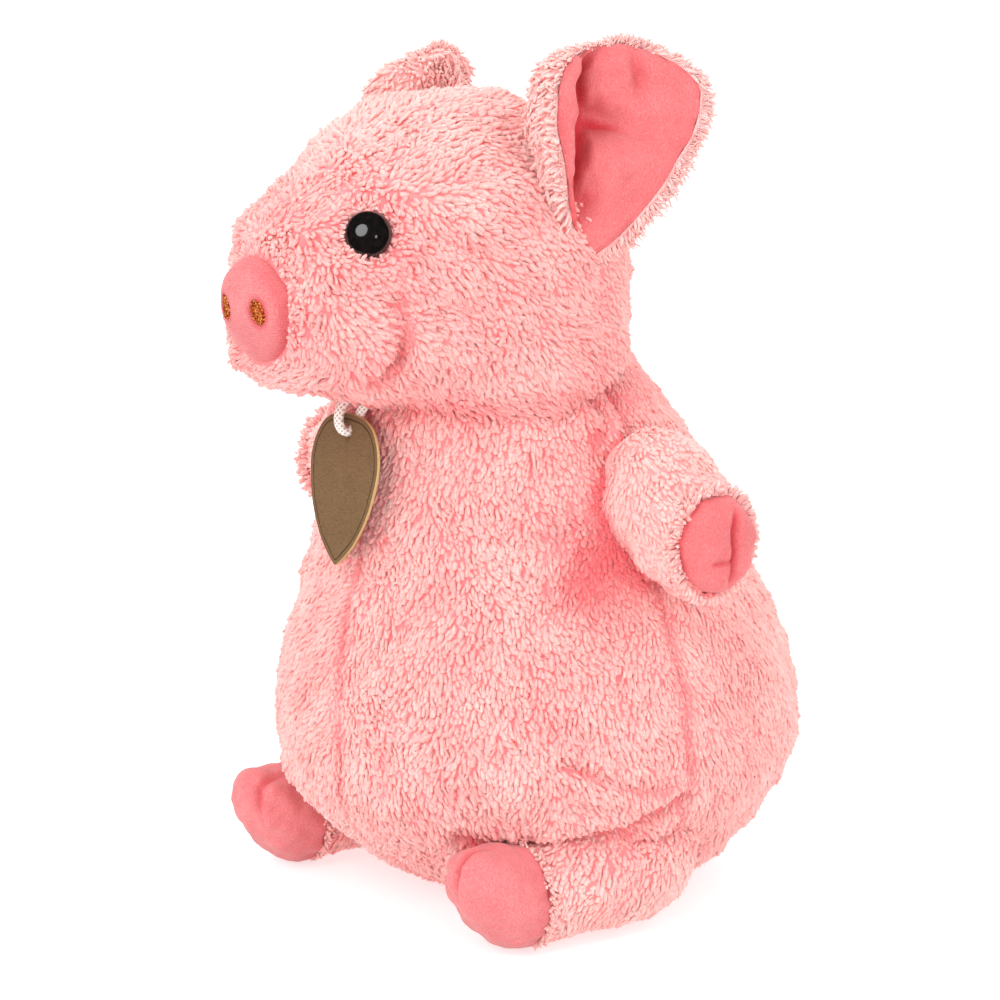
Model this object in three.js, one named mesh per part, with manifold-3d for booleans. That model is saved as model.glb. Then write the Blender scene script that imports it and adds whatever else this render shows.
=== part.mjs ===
// Plush pig, sitting. Millimetres, +Z up. The pig faces -Y, its own left is +X, z = 0 is the floor.
import * as THREE from 'three';
import Module from 'manifold-3d';

const wasm = await Module();
wasm.setup();

// ---- driving dimensions (mm) ----
const SKIN = 2.0;          // pile fabric with its backing
const GAP = 0.3;           // seam gap between neighbouring pieces
const CLEAR = 0.6;         // running gap round a piece that moves
const AROUND = 28;         // facets round the torso

// torso: circular sections, height / centre y / radius
const TZ = [0, 3, 8, 15, 22, 30, 38, 45, 54, 62, 71, 80, 90, 100, 110, 120, 128, 135, 142, 150, 156, 161, 164.5, 166];
const TC = [7, 5.8, 4, 2, 0.2, -1, -0.8, -0.5, -0.7, -1.1, -1.6, -2.3, -3.6, -5.2, -7, -9.1, -11.5, -14.3, -16, -17.8, -18, -18, -18, -18];
const TR = [38, 42, 48.5, 55.5, 62, 67.6, 71, 72.3, 71.8, 70, 67.3, 64, 60, 56.2, 53.3, 50.6, 47.9, 44, 39.4, 33.2, 26.5, 18.5, 10, 0.1];

// head: superelliptic sections along y, top z / bottom z / half width
const HY = [-93.5, -91, -86, -76, -60, -40, -22, -10, 2, 9, 13, 14.5];
const HT = [178.6, 185.2, 190.9, 198.6, 209.4, 217.5, 218, 214, 204, 194, 184, 172];
const HB = [151, 147, 144.5, 142.5, 138, 124, 118, 119, 124, 135, 148, 160];
const HW = [14.5, 20.5, 25.5, 31, 38.2, 44.5, 47.5, 45, 36, 24, 12, 0.1];

// neck joint: one sphere about the pivot shapes both sides
const NECK = [0, -15.1, 119.5];
const NECK_R = 47.1;

// snout disc
const SNOUT = [0, -92, 165];
const SNOUT_R = 13.8;
const SNOUT_TILT = 11.7;   // the disc looks this many degrees down

// eyes
const EYE = [24.6, -75.8, 185.4];
const EYE_R = 6.2;
const EYE_DIR = [0.62, -0.70, 0.36];

// arms: pivot at the shoulder, the arm points out along +x
const SHOULDER = [54, -7, 114.6];
// legs: pivot at the hip, the leg lies forward along -y
const HIP = [50, -10, 19.2];

// ears
const EAR = [43.6, -12, 203];
const EAR_HINGE = [42.1, -32.8, 186.3];      // on the root seam
const EAR_AXIS = [0.38, 0.36, -0.852];

// tail
const TAIL = [0, 70.6, 52];

// ---- numbers and vectors ----
function pchip(x, y) {
  const n = x.length, h = [], d = [], m = new Array(n).fill(0);
  for (let i = 0; i < n - 1; i++) { h.push(x[i + 1] - x[i]); d.push((y[i + 1] - y[i]) / h[i]); }
  for (let i = 1; i < n - 1; i++) {
    if (d[i - 1] * d[i] <= 0) continue;
    const a = 2 * h[i] + h[i - 1], b = h[i] + 2 * h[i - 1];
    m[i] = (a + b) / (a / d[i - 1] + b / d[i]);
  }
  m[0] = d[0]; m[n - 1] = d[n - 2];
  return (v) => {
    if (v <= x[0]) return y[0];
    if (v >= x[n - 1]) return y[n - 1];
    let i = 0;
    while (v > x[i + 1]) i++;
    const t = (v - x[i]) / h[i], t2 = t * t, t3 = t2 * t;
    return y[i] * (2 * t3 - 3 * t2 + 1) + h[i] * m[i] * (t3 - 2 * t2 + t) + y[i + 1] * (3 * t2 - 2 * t3) + h[i] * m[i + 1] * (t3 - t2);
  };
}
const V = (a) => new THREE.Vector3(a[0], a[1], a[2]);
const lerp = (a, b, t) => a + (b - a) * t;
const torsoC = pchip(TZ, TC), torsoR = pchip(TZ, TR);
const headT = pchip(HY, HT), headB = pchip(HY, HB), headW = pchip(HY, HW);

// ---- closed bodies ----
// rings: arrays of equal length, in order; start and end are the pole points
function skinRings(rings, start, end) {
  const n = rings[0].length, pos = [], tri = [];
  for (const r of rings) for (const p of r) pos.push(p[0], p[1], p[2]);
  const s = rings.length * n, e = s + 1;
  pos.push(...start, ...end);
  for (let j = 0; j < n; j++) {
    const k = (j + 1) % n;
    tri.push(s, k, j);
    for (let i = 0; i < rings.length - 1; i++) {
      const a = i * n + j, b = i * n + k, c = a + n, d = b + n;
      if ((i + j) % 2) tri.push(a, b, d, a, d, c); else tri.push(a, b, c, b, d, c);
    }
    const l = (rings.length - 1) * n;
    tri.push(e, l + j, l + k);
  }
  return solid(pos, tri);
}
function solid(pos, tri) {
  // outward facing is checked by the sign of the volume
  let v = 0;
  for (let i = 0; i < tri.length; i += 3) {
    const [a, b, c] = [tri[i] * 3, tri[i + 1] * 3, tri[i + 2] * 3];
    v += pos[a] * (pos[b + 1] * pos[c + 2] - pos[b + 2] * pos[c + 1])
      - pos[a + 1] * (pos[b] * pos[c + 2] - pos[b + 2] * pos[c])
      + pos[a + 2] * (pos[b] * pos[c + 1] - pos[b + 1] * pos[c]);
  }
  const t = v < 0 ? flip(tri) : tri;
  return new wasm.Manifold(new wasm.Mesh({ numProp: 3, vertProperties: new Float32Array(pos), triVerts: new Uint32Array(t) }));
}
function flip(tri) {
  const t = tri.slice();
  for (let i = 0; i < t.length; i += 3) { const a = t[i]; t[i] = t[i + 1]; t[i + 1] = a; }
  return t;
}
// sections of a limb: [centre, half size across u, half size across v], u and v unit vectors
function limb(list, u, v, n, start, end, lobes) {
  const rings = list.map(([c, a, b, g = 0]) => {
    const r = [];
    for (let j = 0; j < n; j++) {
      const t = (j / n) * 2 * Math.PI + 0.5 * (2 * Math.PI / n);
      let k = 1;
      if (g && lobes) for (const w of lobes) k -= g * Math.exp(-Math.pow(Math.sin((t - w) / 2) * 2 / 0.32, 2));
      r.push([0, 1, 2].map((i) => c[i] + k * (a * Math.cos(t) * u[i] + b * Math.sin(t) * v[i])));
    }
    return r;
  });
  return skinRings(rings, start, end);
}
function ball(c, r, n = 24, m = 12) {
  const rings = [];
  for (let i = 1; i < m; i++) {
    const f = (i / m) * Math.PI, q = [];
    for (let j = 0; j < n; j++) {
      const t = (j / n) * 2 * Math.PI;
      q.push([c[0] + r * Math.sin(f) * Math.cos(t), c[1] + r * Math.sin(f) * Math.sin(t), c[2] - r * Math.cos(f)]);
    }
    rings.push(q);
  }
  return skinRings(rings, [c[0], c[1], c[2] - r], [c[0], c[1], c[2] + r]);
}
// box between two corners
function block(a, b) {
  const P = [];
  for (const z of [a[2], b[2]]) for (const [x, y] of [[a[0], a[1]], [b[0], a[1]], [b[0], b[1]], [a[0], b[1]]]) P.push(x, y, z);
  const T = [0, 2, 1, 0, 3, 2, 4, 5, 6, 4, 6, 7, 0, 1, 5, 0, 5, 4, 1, 2, 6, 1, 6, 5, 2, 3, 7, 2, 7, 6, 3, 0, 4, 3, 4, 7];
  return solid(P, T);
}
// body of revolution: profile [along, radius], first and last radius 0, from point c along unit d
function turned(c, d, profile, n) {
  const w = V(d).normalize();
  const h = Math.abs(w.z) > 0.9 ? new THREE.Vector3(0, 1, 0) : new THREE.Vector3(0, 0, 1);
  const u = h.clone().cross(w).normalize(), v = w.clone().cross(u);
  const at = (s, r, t) => [0, 1, 2].map((i) => c[i] + s * w.getComponent(i) + r * (Math.cos(t) * u.getComponent(i) + Math.sin(t) * v.getComponent(i)));
  const rings = profile.slice(1, -1).map(([s, r]) => Array.from({ length: n }, (_, j) => at(s, r, (j / n) * 2 * Math.PI)));
  return skinRings(rings, at(profile[0][0], 0, 0), at(profile[profile.length - 1][0], 0, 0));
}
function about(m, p, axis, deg) {
  const q = new THREE.Matrix4().makeTranslation(p[0], p[1], p[2])
    .multiply(new THREE.Matrix4().makeRotationAxis(V(axis).normalize(), deg * Math.PI / 180))
    .multiply(new THREE.Matrix4().makeTranslation(-p[0], -p[1], -p[2]));
  return m.transform(q.elements);
}

// ---- torso ----
const TZ_OUT = [0, 3, 8, 16, 28, 42, 58, 76, 96, 116, 130, 140, 150, 159, 166];
const TZ_IN = [0, 6, 18, 40, 68, 100, 126, 141, 154, 166];
function torso(off, step, around) {
  const rings = [];
  const top = 166 - off, lo = off;
  const zs = (step === 1 ? TZ_OUT : TZ_IN).map((z) => lerp(lo, top, z / 166)).slice(0, -1);
  for (const z of zs) {
    const r = Math.max(torsoR(z) - off * (z < 8 ? 0.6 : 1.05), 1.5), c = torsoC(z);
    rings.push(Array.from({ length: around }, (_, j) => {
      const t = ((j + 0.5) / around) * 2 * Math.PI;
      return [r * Math.cos(t), c + r * Math.sin(t), z];
    }));
  }
  return skinRings(rings, [0, torsoC(lo), lo], [0, torsoC(top), top]);
}
// ---- head ----
function head(off, ys, around) {
  const rings = [];
  for (const y0 of ys) {
    const y = lerp(-93.5 + off, 14.5 - off, (y0 + 93.5) / 108);
    const t = headT(y) - off, b = headB(y) + off, w = Math.max(headW(y) - off, 1.5);
    const zc = b + 0.45 * (t - b), r = [];
    for (let j = 0; j < around; j++) {
      const a = ((j + 0.5) / around) * 2 * Math.PI, c = Math.cos(a), s = Math.sin(a);
      const p = s > 0 ? 2.1 : 2.4, h = s > 0 ? t - zc : zc - b;
      const k = Math.pow(Math.pow(Math.abs(c), p) + Math.pow(Math.abs(s), p), -1 / p);
      r.push([w * k * c, y, zc + h * k * s]);
    }
    rings.push(r);
  }
  const mid = (y) => headB(y) + 0.45 * (headT(y) - headB(y));
  return skinRings(rings, [0, -93.5 + off, mid(-93.5)], [0, 14.5 - off, mid(14.5)]);
}

// ---- limbs, drawn for the pig's left (+x) ----
// arm: profile of [x, centre y, centre z, half size across y, half size across z]
const ARM = [[43.4, -7.5, 117, 8, 10], [46.2, -7.4, 116.6, 11.5, 14.5], [50, -7.1, 115.8, 13.6, 17.2], [56, -6.8, 114.4, 14.8, 19.2], [64, -7, 112, 15.2, 19.8], [71, -7.4, 109.6, 15.2, 18.2], [76.5, -8, 107.5, 14, 15.2], [79, -8.2, 106.9, 12.8, 13.4]];
function arm(off, from = 0, to = ARM.length) {
  const L = ARM.slice(from, to);
  return limb(L.map(([x, y, z, a, b], i) => [[x + (i === 0 ? off : i === L.length - 1 ? -off : 0), y, z], a - off, b - off]), [0, 1, 0], [0, 0, 1], 14,
    [L[0][0] + off, L[0][1], L[0][2]], [L[L.length - 1][0] - off, L[L.length - 1][1], L[L.length - 1][2]]);
}
const HANDP = [[79.4, 11.8, 11.8], [81.3, 11.6, 11.6, 0.04], [83.2, 10.4, 10.5, 0.10], [84.6, 8.2, 8.5, 0.16], [85.6, 5.1, 5.5, 0.2], [85.9, 2.2, 2.4, 0.2]];
const hand = () => limb(HANDP.map(([x, a, b, g]) => [[x, -8, 106.8], a, b, g]), [0, 1, 0], [0, 0, 1], 14, [79.4, -8, 106.8], [85.8, -8, 106.8], [Math.PI / 2, -Math.PI / 2]);

// leg: [y, centre x, centre z, half size across x, half size across z]
const LEG = [[5.2, 50.5, 19, 9, 8], [2.4, 50.5, 19, 12.5, 12.4], [-2, 50.4, 19, 15.5, 16], [-9, 50, 18.8, 17.6, 18.2], [-20, 49.6, 17.4, 17.8, 17], [-31, 49.1, 15.9, 16.9, 15.5], [-39.5, 48.5, 14.9, 15.9, 14.5], [-45.2, 48, 14.4, 14.5, 13.9], [-46.6, 48, 14.3, 13.8, 13.5]];
function leg(off, from = 0, to = LEG.length) {
  const L = LEG.slice(from, to);
  return limb(L.map(([y, x, z, a, b], i) => [[x, y + (i === 0 ? -off : i === L.length - 1 ? off : 0), z], a - off, b - off]), [1, 0, 0], [0, 0, 1], 14,
    [L[0][1], L[0][0] - off, L[0][2]], [L[L.length - 1][1], L[L.length - 1][0] + off, L[L.length - 1][2]]);
}
// the toe is raised: the middle of each section climbs
const FOOTP = [[-47, 14.4, 13.6, 13.4], [-51.5, 14.9, 14, 13.8, 0.03], [-56, 16.2, 13.4, 12.6, 0.09], [-60.5, 18.2, 11.5, 10.4, 0.14], [-63.8, 20.2, 8.5, 7.4, 0.19], [-65.7, 21.6, 4.6, 4, 0.22]];
const foot = () => limb(FOOTP.map(([y, z, a, b, g]) => [[48, y, z], a, b, g]), [1, 0, 0], [0, 0, 1], 14, [48, -47, 14.4], [48, -66.2, 22], [Math.PI / 2, -Math.PI / 2]);

// ear blade: a cupped petal. s runs across, t up; depth is measured along the facing normal
const EAR_U = V([-0.09, 0.2, 0.975]).normalize();
const EAR_N = V([0.94, -0.342, 0]).addScaledVector(EAR_U, -V([0.94, -0.342, 0]).dot(EAR_U)).normalize();
const EAR_T = EAR_U.clone().cross(EAR_N).normalize(); // towards the back of the head
// outline: height up the blade, front edge, back edge
const EAR_H = [-29.5, -27, -22, -14, -4, 6, 14, 20, 24.5, 27];
const EAR_F = [-3.5, -8, -12, -16.5, -20.5, -22, -20.5, -16.5, -11, -4];
const EAR_B = [0, 3.5, 7.5, 13.5, 20, 24, 24, 20.5, 14.5, 6];
const earF = pchip(EAR_H, EAR_F), earB = pchip(EAR_H, EAR_B);
const earDepth = (s, t) => 0.0085 * s * s + (s < -11 ? 0.03 * (s + 11) * (s + 11) : 0) + 0.0018 * t * t - 1.5;
function earSheet(d0, d1, shrink) {
  const m = 11, F = [0.5, 0.82, 1], lo = EAR_H[0] + shrink, hi = EAR_H[EAR_H.length - 1] - shrink;
  const edge = [];
  for (let i = 0; i < m; i++) { const t = lerp(lo, hi, 0.5 - 0.5 * Math.cos(((i + 0.5) / m) * Math.PI)); edge.push([earB(t) - shrink, t]); }
  for (let i = m - 1; i >= 0; i--) { const t = lerp(lo, hi, 0.5 - 0.5 * Math.cos(((i + 0.5) / m) * Math.PI)); edge.push([earF(t) + shrink, t]); }
  const at = (f, e, d) => {
    const s = e[0] * f + 1 * (1 - f), t = e[1] * f, k = earDepth(s, t) + d;
    return [0, 1, 2].map((i) => EAR[i] + s * EAR_T.getComponent(i) + t * EAR_U.getComponent(i) + k * EAR_N.getComponent(i));
  };
  const rings = [];
  for (const f of F) rings.push(edge.map((e) => at(f, e, d0)));
  for (const f of F.slice().reverse()) rings.push(edge.map((e) => at(f, e, d1)));
  return skinRings(rings, at(0, [0, 0], d0), at(0, [0, 0], d1));
}

// ---- build ----
const parts = [];
const add = (name, body, m, mat) => parts.push({ name, body, m, mat });
const MAT = {
  fur: { color: 0xf6a9a8, roughness: 0.95, metalness: 0 },
  velour: { color: 0xee7780, roughness: 0.85, metalness: 0 },
  filling: { color: 0xf4f2ec, roughness: 1, metalness: 0 },
  pellets: { color: 0xd9d4c6, roughness: 0.9, metalness: 0 },
  eye: { color: 0x0a0808, roughness: 0.08, metalness: 0 },
  washer: { color: 0xe8e6e0, roughness: 0.5, metalness: 0 },
  thread: { color: 0xb5541f, roughness: 0.45, metalness: 0.5 },
  card: { color: 0x96764b, roughness: 0.8, metalness: 0 },
  satin: { color: 0xf3ece2, roughness: 0.5, metalness: 0 },
};
const mirror = (m) => m.mirror([1, 0, 0]);
// hand-sewn: the right eye and ear sit a little off a mirror image of the left ones
const EYE_OFF = [0.4, 2.6, -1.2], EAR_OFF = [0.6, 4.6, -6];
const right = (m, off) => mirror(m).translate(off);
// everything above or below z0, the face rising at k behind y0
function slab(z0, y0, k, far) {
  const prof = [[-400, z0], [y0, z0], [90, z0 + k * (90 - y0)], [90, far], [-400, far]], n = 5, P = [], T = [];
  for (const x of [-90, 90]) for (const [y, z] of prof) P.push(x, y, z);
  for (let i = 0; i < n; i++) { const j = (i + 1) % n; T.push(i, j, j + n, i, j + n, i + n); }
  T.push(1, 0, 4, 1, 4, 3, 1, 3, 2, n, n + 1, n + 4, n + 1, n + 3, n + 4, n + 1, n + 2, n + 3);
  return solid(P, T);
}
const above = (z0, y0, k) => slab(z0, y0, k, 300);
const below = (z0, y0, k) => slab(z0, y0, k, 40);
const both = (m) => m.add(mirror(m));
const big = (m) => m.decompose().sort((a, b) => b.volume() - a.volume())[0];
const FAR = 400;
const keep = (m, a, b) => m.intersect(block(a, b));

// the space that limbs sweep, cut out of the torso: one smooth pocket each, wide enough for the whole range
const ARM_UP = 20, ARM_DOWN = 8, LEG_OUT = 9, LEG_IN = 8;
const rad = (d) => d * Math.PI / 180;
const DEPTH = { arm: [[-14.6, 5, 6], [-13, 9.5, 11.5], [-9.5, 12.6, 15.4], [-5, 14.4, 18.6], [0, 15.2, 20], [8, 15.6, 20.6], [14, 15.6, 20]], leg: [[16.3, 8, 10], [14, 13, 13.6], [8, 17, 17.2], [0, 18.5, 18.8], [-11, 19, 18.5], [-23, 17.4, 17], [-33, 16.2, 15.8], [-47, 15, 14.8], [-57, 12.5, 12.5]] };
function armPocket(o) {
  const k = (Math.sin(rad(ARM_UP)) - Math.sin(rad(ARM_DOWN))) / 2, w = (Math.sin(rad(ARM_UP)) + Math.sin(rad(ARM_DOWN))) / 2;
  const L = DEPTH.arm.map(([d, a, b]) => {
    const x = SHOULDER[0] + d, f = Math.max(0, d);
    return [[x - (d < -9 ? o : 0), SHOULDER[1], SHOULDER[2] - 0.22 * d + f * k], a + o, b + o + f * w];
  });
  const e = L.length - 1;
  return limb(L, [0, 1, 0], [0, 0, 1], 14, [L[0][0][0] - 0.3, L[0][0][1], L[0][0][2]], [L[e][0][0] + 0.5, L[e][0][1], L[e][0][2]]);
}
function legPocket(o) {
  const L = DEPTH.leg.map(([d, a, b]) => [[HIP[0] + (d < 0 ? 0.048 : 0.03) * d, HIP[1] + d + (d > 9 ? o : 0), HIP[2] + (d < 0 ? 0.09 * d : 0)], a + o + Math.max(0, -d) * Math.sin(rad(LEG_OUT)), b + o]);
  const e = L.length - 1;
  return limb(L, [1, 0, 0], [0, 0, 1], 14, [L[0][0][0], L[0][0][1] + 0.3, L[0][0][2]], [L[e][0][0], L[e][0][1] - 0.5, L[e][0][2]]);
}
const armSweep = both(armPocket(CLEAR)), legSweep = both(legPocket(CLEAR + 0.15));
const armSweepIn = both(armPocket(CLEAR + SKIN)), legSweepIn = both(legPocket(CLEAR + SKIN));
const armSweepFill = both(armPocket(CLEAR + SKIN + GAP)), legSweepFill = both(legPocket(CLEAR + SKIN + GAP));

// tail: a short curl, root in a shallow socket
const tailPath = [];
for (let i = 0; i <= 15; i++) {
  const t = i / 15, a = t * 2 * Math.PI * 1.15;
  tailPath.push([TAIL[0] + 5.6 * Math.sin(a) * Math.min(1, t * 3), TAIL[1] + 1.5 + 8.5 * Math.min(1, t * 1.6) + 1.5 * t, TAIL[2] + 2 + 6.5 * (1 - Math.cos(a)) * Math.min(1, t * 2.2) - 1 * t]);
}
function tube(path, rad, n) {
  const c = new THREE.CatmullRomCurve3(path.map(V)), m = path.length - 1, fr = c.computeFrenetFrames(m, false);
  const rings = [];
  for (let i = 0; i <= m; i++) {
    const p = c.getPointAt(i / m), r = rad(i / m);
    rings.push(Array.from({ length: n }, (_, j) => {
      const t = (j / n) * 2 * Math.PI;
      const q = p.clone().addScaledVector(fr.normals[i], r * Math.cos(t)).addScaledVector(fr.binormals[i], r * Math.sin(t));
      return [q.x, q.y, q.z];
    }));
  }
  const a = c.getPointAt(0).addScaledVector(fr.tangents[0], -0.6 * rad(0)), b = c.getPointAt(1).addScaledVector(fr.tangents[m], 0.7 * rad(1));
  return skinRings(rings, [a.x, a.y, a.z], [b.x, b.y, b.z]);
}
const tail = tube(tailPath, (t) => lerp(3.6, 2.4, t), 8);
const tailSocket = ball([TAIL[0], TAIL[1] + 1.5, TAIL[2] + 2], 5.2, 12, 6);

const tOut = torso(0, 1, AROUND).subtract(armSweep).subtract(legSweep).subtract(tailSocket);
const tIn = torso(SKIN, 2, 20).subtract(armSweepIn).subtract(legSweepIn).subtract(ball([TAIL[0], TAIL[1] + 1.5, TAIL[2] + 2], 5.2 + SKIN, 12, 6));
const skin = tOut.subtract(tIn).subtract(above(145.3, -17, 0.33));
const RIM = 220, BASE = 6, SIDE = -8;
const g = GAP / 2;
add('torso_front_left_panel', 'torso', keep(skin, [g, -FAR, BASE + g], [FAR, SIDE - g, RIM]), 'fur');
add('torso_front_right_panel', 'torso', keep(skin, [-FAR, -FAR, BASE + g], [-g, SIDE - g, RIM]), 'fur');
add('torso_back_left_panel', 'torso', keep(skin, [g, SIDE + g, BASE + g], [FAR, FAR, RIM]), 'fur');
add('torso_back_right_panel', 'torso', keep(skin, [-FAR, SIDE + g, BASE + g], [-g, FAR, RIM]), 'fur');
add('torso_base_panel', 'torso', keep(skin, [-FAR, -FAR, -1], [FAR, FAR, BASE - g]), 'fur');

// pellet bag low in the body, and the filling round it
const BAG = [0, 8, 16];
const bag = (o) => limb([[-12.5, 14], [-10.5, 22.5], [-6, 28.5], [0, 31], [6, 28.5], [10.5, 22.5], [12.5, 14]].map(([z, r]) => [[BAG[0], BAG[1], BAG[2] + z * (1 + o / 12.5)], (r + o) * 1.0, (r + o) * 0.95]), [1, 0, 0], [0, 1, 0], 20,
  [BAG[0], BAG[1], BAG[2] - 13.5 - o], [BAG[0], BAG[1], BAG[2] + 13.5 + o]);
add('pellet_bag', 'torso', bag(0), 'pellets');
const domeFill = ball(NECK, NECK_R - 5.4, 20, 10);
let tFill = torso(SKIN + GAP, 2, 20).subtract(armSweepFill).subtract(legSweepFill)
  .subtract(ball([TAIL[0], TAIL[1] + 1.5, TAIL[2] + 2], 5.2 + SKIN + GAP, 12, 6)).subtract(bag(GAP)).subtract(turned([BAG[0], BAG[1], 1], [0, 0, 1], [[0, 0], [0, 12], [5, 12], [5, 0]], 14));
tFill = keep(tFill, [-FAR, -FAR, 0], [FAR, FAR, 132]).add(keep(tFill, [-FAR, -FAR, 131], [FAR, FAR, FAR]).intersect(domeFill));
add('torso_filling', 'torso', tFill, 'filling');

// neck wad: a domed pad of filling between the torso's filling and the head's
const wadCone = turned(NECK, [0, -0.139, 0.99], [[20, 0], [20, 12], [60, 36], [60, 0]], 18);
add('neck_filling', 'neck', ball(NECK, NECK_R - 0.6, 20, 10).subtract(ball(NECK, NECK_R - 4.6, 20, 10)).intersect(wadCone), 'filling');

// ---- head ----
const HYS = [-93.5, -90.5, -85, -76, -64, -51, -37, -23, -10, 1, 8.5, 12.5];
const HYI = [-93.5, -86, -70, -50, -30, -12, 2, 9];
const socket = ball(NECK, NECK_R + CLEAR, 32, 16);
const rimCut = (o) => below(137.3 + o, -27, 0.43); // level at the front, rising towards the nape
const sd = [0, -Math.cos(SNOUT_TILT * Math.PI / 180), -Math.sin(SNOUT_TILT * Math.PI / 180)];
const snoutHole = (r, deep) => turned(SNOUT, sd, [[-deep, 0], [-deep, r], [20, r], [20, 0]], 18);
const eyeDir = V(EYE_DIR).normalize().toArray();
const eye = turned(EYE, eyeDir, [[-9.5, 0], [-9.5, 1.6], [-6.4, 2.0], [-1.2, 2.0], [-0.9, 5.6], [0.2, EYE_R], [1.6, 5.9], [3.0, 4.7], [3.9, 2.6], [4.2, 0]], 14);
const eyeHole = turned(EYE, eyeDir, [[-12, 0], [-12, 2.3], [-1.5, 2.3], [-1.2, EYE_R + 0.35], [8, EYE_R + 0.35], [8, 0]], 14);
const washer = turned(EYE, eyeDir, [[-6.2, 0], [-6.2, 5.5], [-4.9, 5.5], [-4.9, 0]], 14).subtract(turned(EYE, eyeDir, [[-9, 0], [-9, 2.25], [-3, 2.25], [-3, 0]], 10));
const washerRoom = turned(EYE, eyeDir, [[-10.2, 0], [-10.2, 3], [-6.6, 6.5], [9, 6.5], [9, 0]], 12);
const hSkin = big(head(0, HYS, 28).subtract(head(SKIN, HYI, 20)).subtract(socket).subtract(rimCut(0))).subtract(snoutHole(SNOUT_R + GAP, 9)).subtract(eyeHole.add(right(eyeHole, EYE_OFF)));
const HG = 11.8;
add('head_left_side_panel', 'head', keep(hSkin, [HG + g, -FAR, 100], [FAR, FAR, FAR]), 'fur');
add('head_right_side_panel', 'head', keep(hSkin, [-FAR, -FAR, 100], [-HG - g, FAR, FAR]), 'fur');
const strip = keep(hSkin, [-HG + g, -FAR, 100], [HG - g, FAR, FAR]).decompose().sort((a, b) => b.volume() - a.volume());
add('head_gusset_panel', 'head', strip[0], 'fur');
add('chin_panel', 'head', strip[1], 'fur');
const hFill = big(head(SKIN + GAP, HYI, 20).subtract(socket).subtract(rimCut(0.4)).subtract(snoutHole(SNOUT_R + 0.2, 4.6)).subtract(washerRoom.add(right(washerRoom, EYE_OFF))));
add('head_filling', 'head', hFill, 'filling');

// snout disc with its two embroidered nostrils
const snoutSolid = turned(SNOUT, sd, [[-3.4, 0], [-3.4, 12.6], [-1.6, SNOUT_R], [0.6, 13.6], [2.4, 12.6], [4.0, 10.4], [5.0, 7.2], [5.5, 3.6], [5.7, 0]], 18);
const nUp = [0, sd[2], -sd[1]]; // up along the disc
const nostrilAt = (side) => {
  const x = 7 * side, up = 2, out = 4.72;
  return [x, SNOUT[1] + sd[1] * out + nUp[1] * up, SNOUT[2] + sd[2] * out + nUp[2] * up];
};
const nostril = (side, o) => {
  const c = nostrilAt(side), tilt = -0.28 * side, out = V([0.3 * side, sd[1], sd[2] + 0.09]).normalize();
  const up0 = V([0, 0, 1]), a = out.clone().cross(up0).normalize(), b = a.clone().cross(out).normalize();
  const u = a.clone().multiplyScalar(Math.cos(tilt)).addScaledVector(b, Math.sin(tilt)), v = b.clone().multiplyScalar(Math.cos(tilt)).addScaledVector(a, -Math.sin(tilt));
  const sec = [[-1.0 - o, 1.5, 2.2], [-0.6 - o, 1.95, 2.75], [0.3, 1.95, 2.75], [0.8, 1.3, 1.9]];
  const P = (s) => [0, 1, 2].map((i) => c[i] + s * out.getComponent(i));
  return limb(sec.map(([s, p, q]) => [P(s), p + o, q + o]), u.toArray(), v.toArray(), 10, P(-1.1 - o), P(0.95));
};
add('snout_disc', 'head', snoutSolid.subtract(nostril(1, 0.25)).subtract(nostril(-1, 0.25)), 'velour');
add('nostril_left', 'head', nostril(1, 0), 'thread');
add('nostril_right', 'head', nostril(-1, 0), 'thread');
add('eye_left', 'head', eye, 'eye');
add('eye_right', 'head', right(eye, EYE_OFF), 'eye');
add('eye_washer_left', 'head', washer, 'washer');
add('eye_washer_right', 'head', right(washer, EYE_OFF), 'washer');

// ears: fur outer and velour inner, both cut clear of the head
const headKeepOut = head(-0.5, HYS, 28);
const earOuter = earSheet(-2.5, -0.35, 0), earInner = earSheet(0.25, 1.8, 1.6);
add('ear_left_outer', 'ear_left', big(earOuter.subtract(headKeepOut)), 'fur');
add('ear_left_inner', 'ear_left', big(earInner.subtract(headKeepOut)), 'velour');
add('ear_right_outer', 'ear_right', big(right(earOuter, EAR_OFF).subtract(headKeepOut)), 'fur');
add('ear_right_inner', 'ear_right', big(right(earInner, EAR_OFF).subtract(headKeepOut)), 'velour');

// arms
const sleeveArm = arm(0).subtract(arm(SKIN)).subtract(turned([70, -8.1, 107.1], [1, 0, 0], [[0, 0], [0, 10], [20, 10], [20, 0]], 16));
const fillArm = arm(SKIN + GAP).intersect(block([0, -FAR, 0], [76.4, FAR, FAR]));
for (const [side, f] of [['left', (m) => m], ['right', mirror]]) {
  add(`arm_${side}_sleeve`, `arm_${side}`, f(sleeveArm), 'fur');
  add(`arm_${side}_hoof`, `arm_${side}`, f(hand()), 'velour');
  add(`arm_${side}_filling`, `arm_${side}`, f(fillArm), 'filling');
}
// legs
const sleeveLeg = leg(0).subtract(leg(SKIN)).subtract(turned([48, -38, 14.4], [0, -1, 0], [[0, 0], [0, 11], [20, 11], [20, 0]], 16));
const fillLeg = leg(SKIN + GAP).intersect(block([-FAR, -44, -5], [FAR, FAR, FAR]));
for (const [side, f] of [['left', (m) => m], ['right', mirror]]) {
  add(`leg_${side}_sleeve`, `leg_${side}`, f(sleeveLeg), 'fur');
  add(`leg_${side}_hoof`, `leg_${side}`, f(foot()), 'velour');
  add(`leg_${side}_filling`, `leg_${side}`, f(fillLeg), 'filling');
}
add('tail', 'tail', tail, 'velour');

// hang tag: a pointed drop of card on a cord loop
const TAG_T = 1.0, HOLE = [0, 131.1], HOLE_R = 2;
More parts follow.
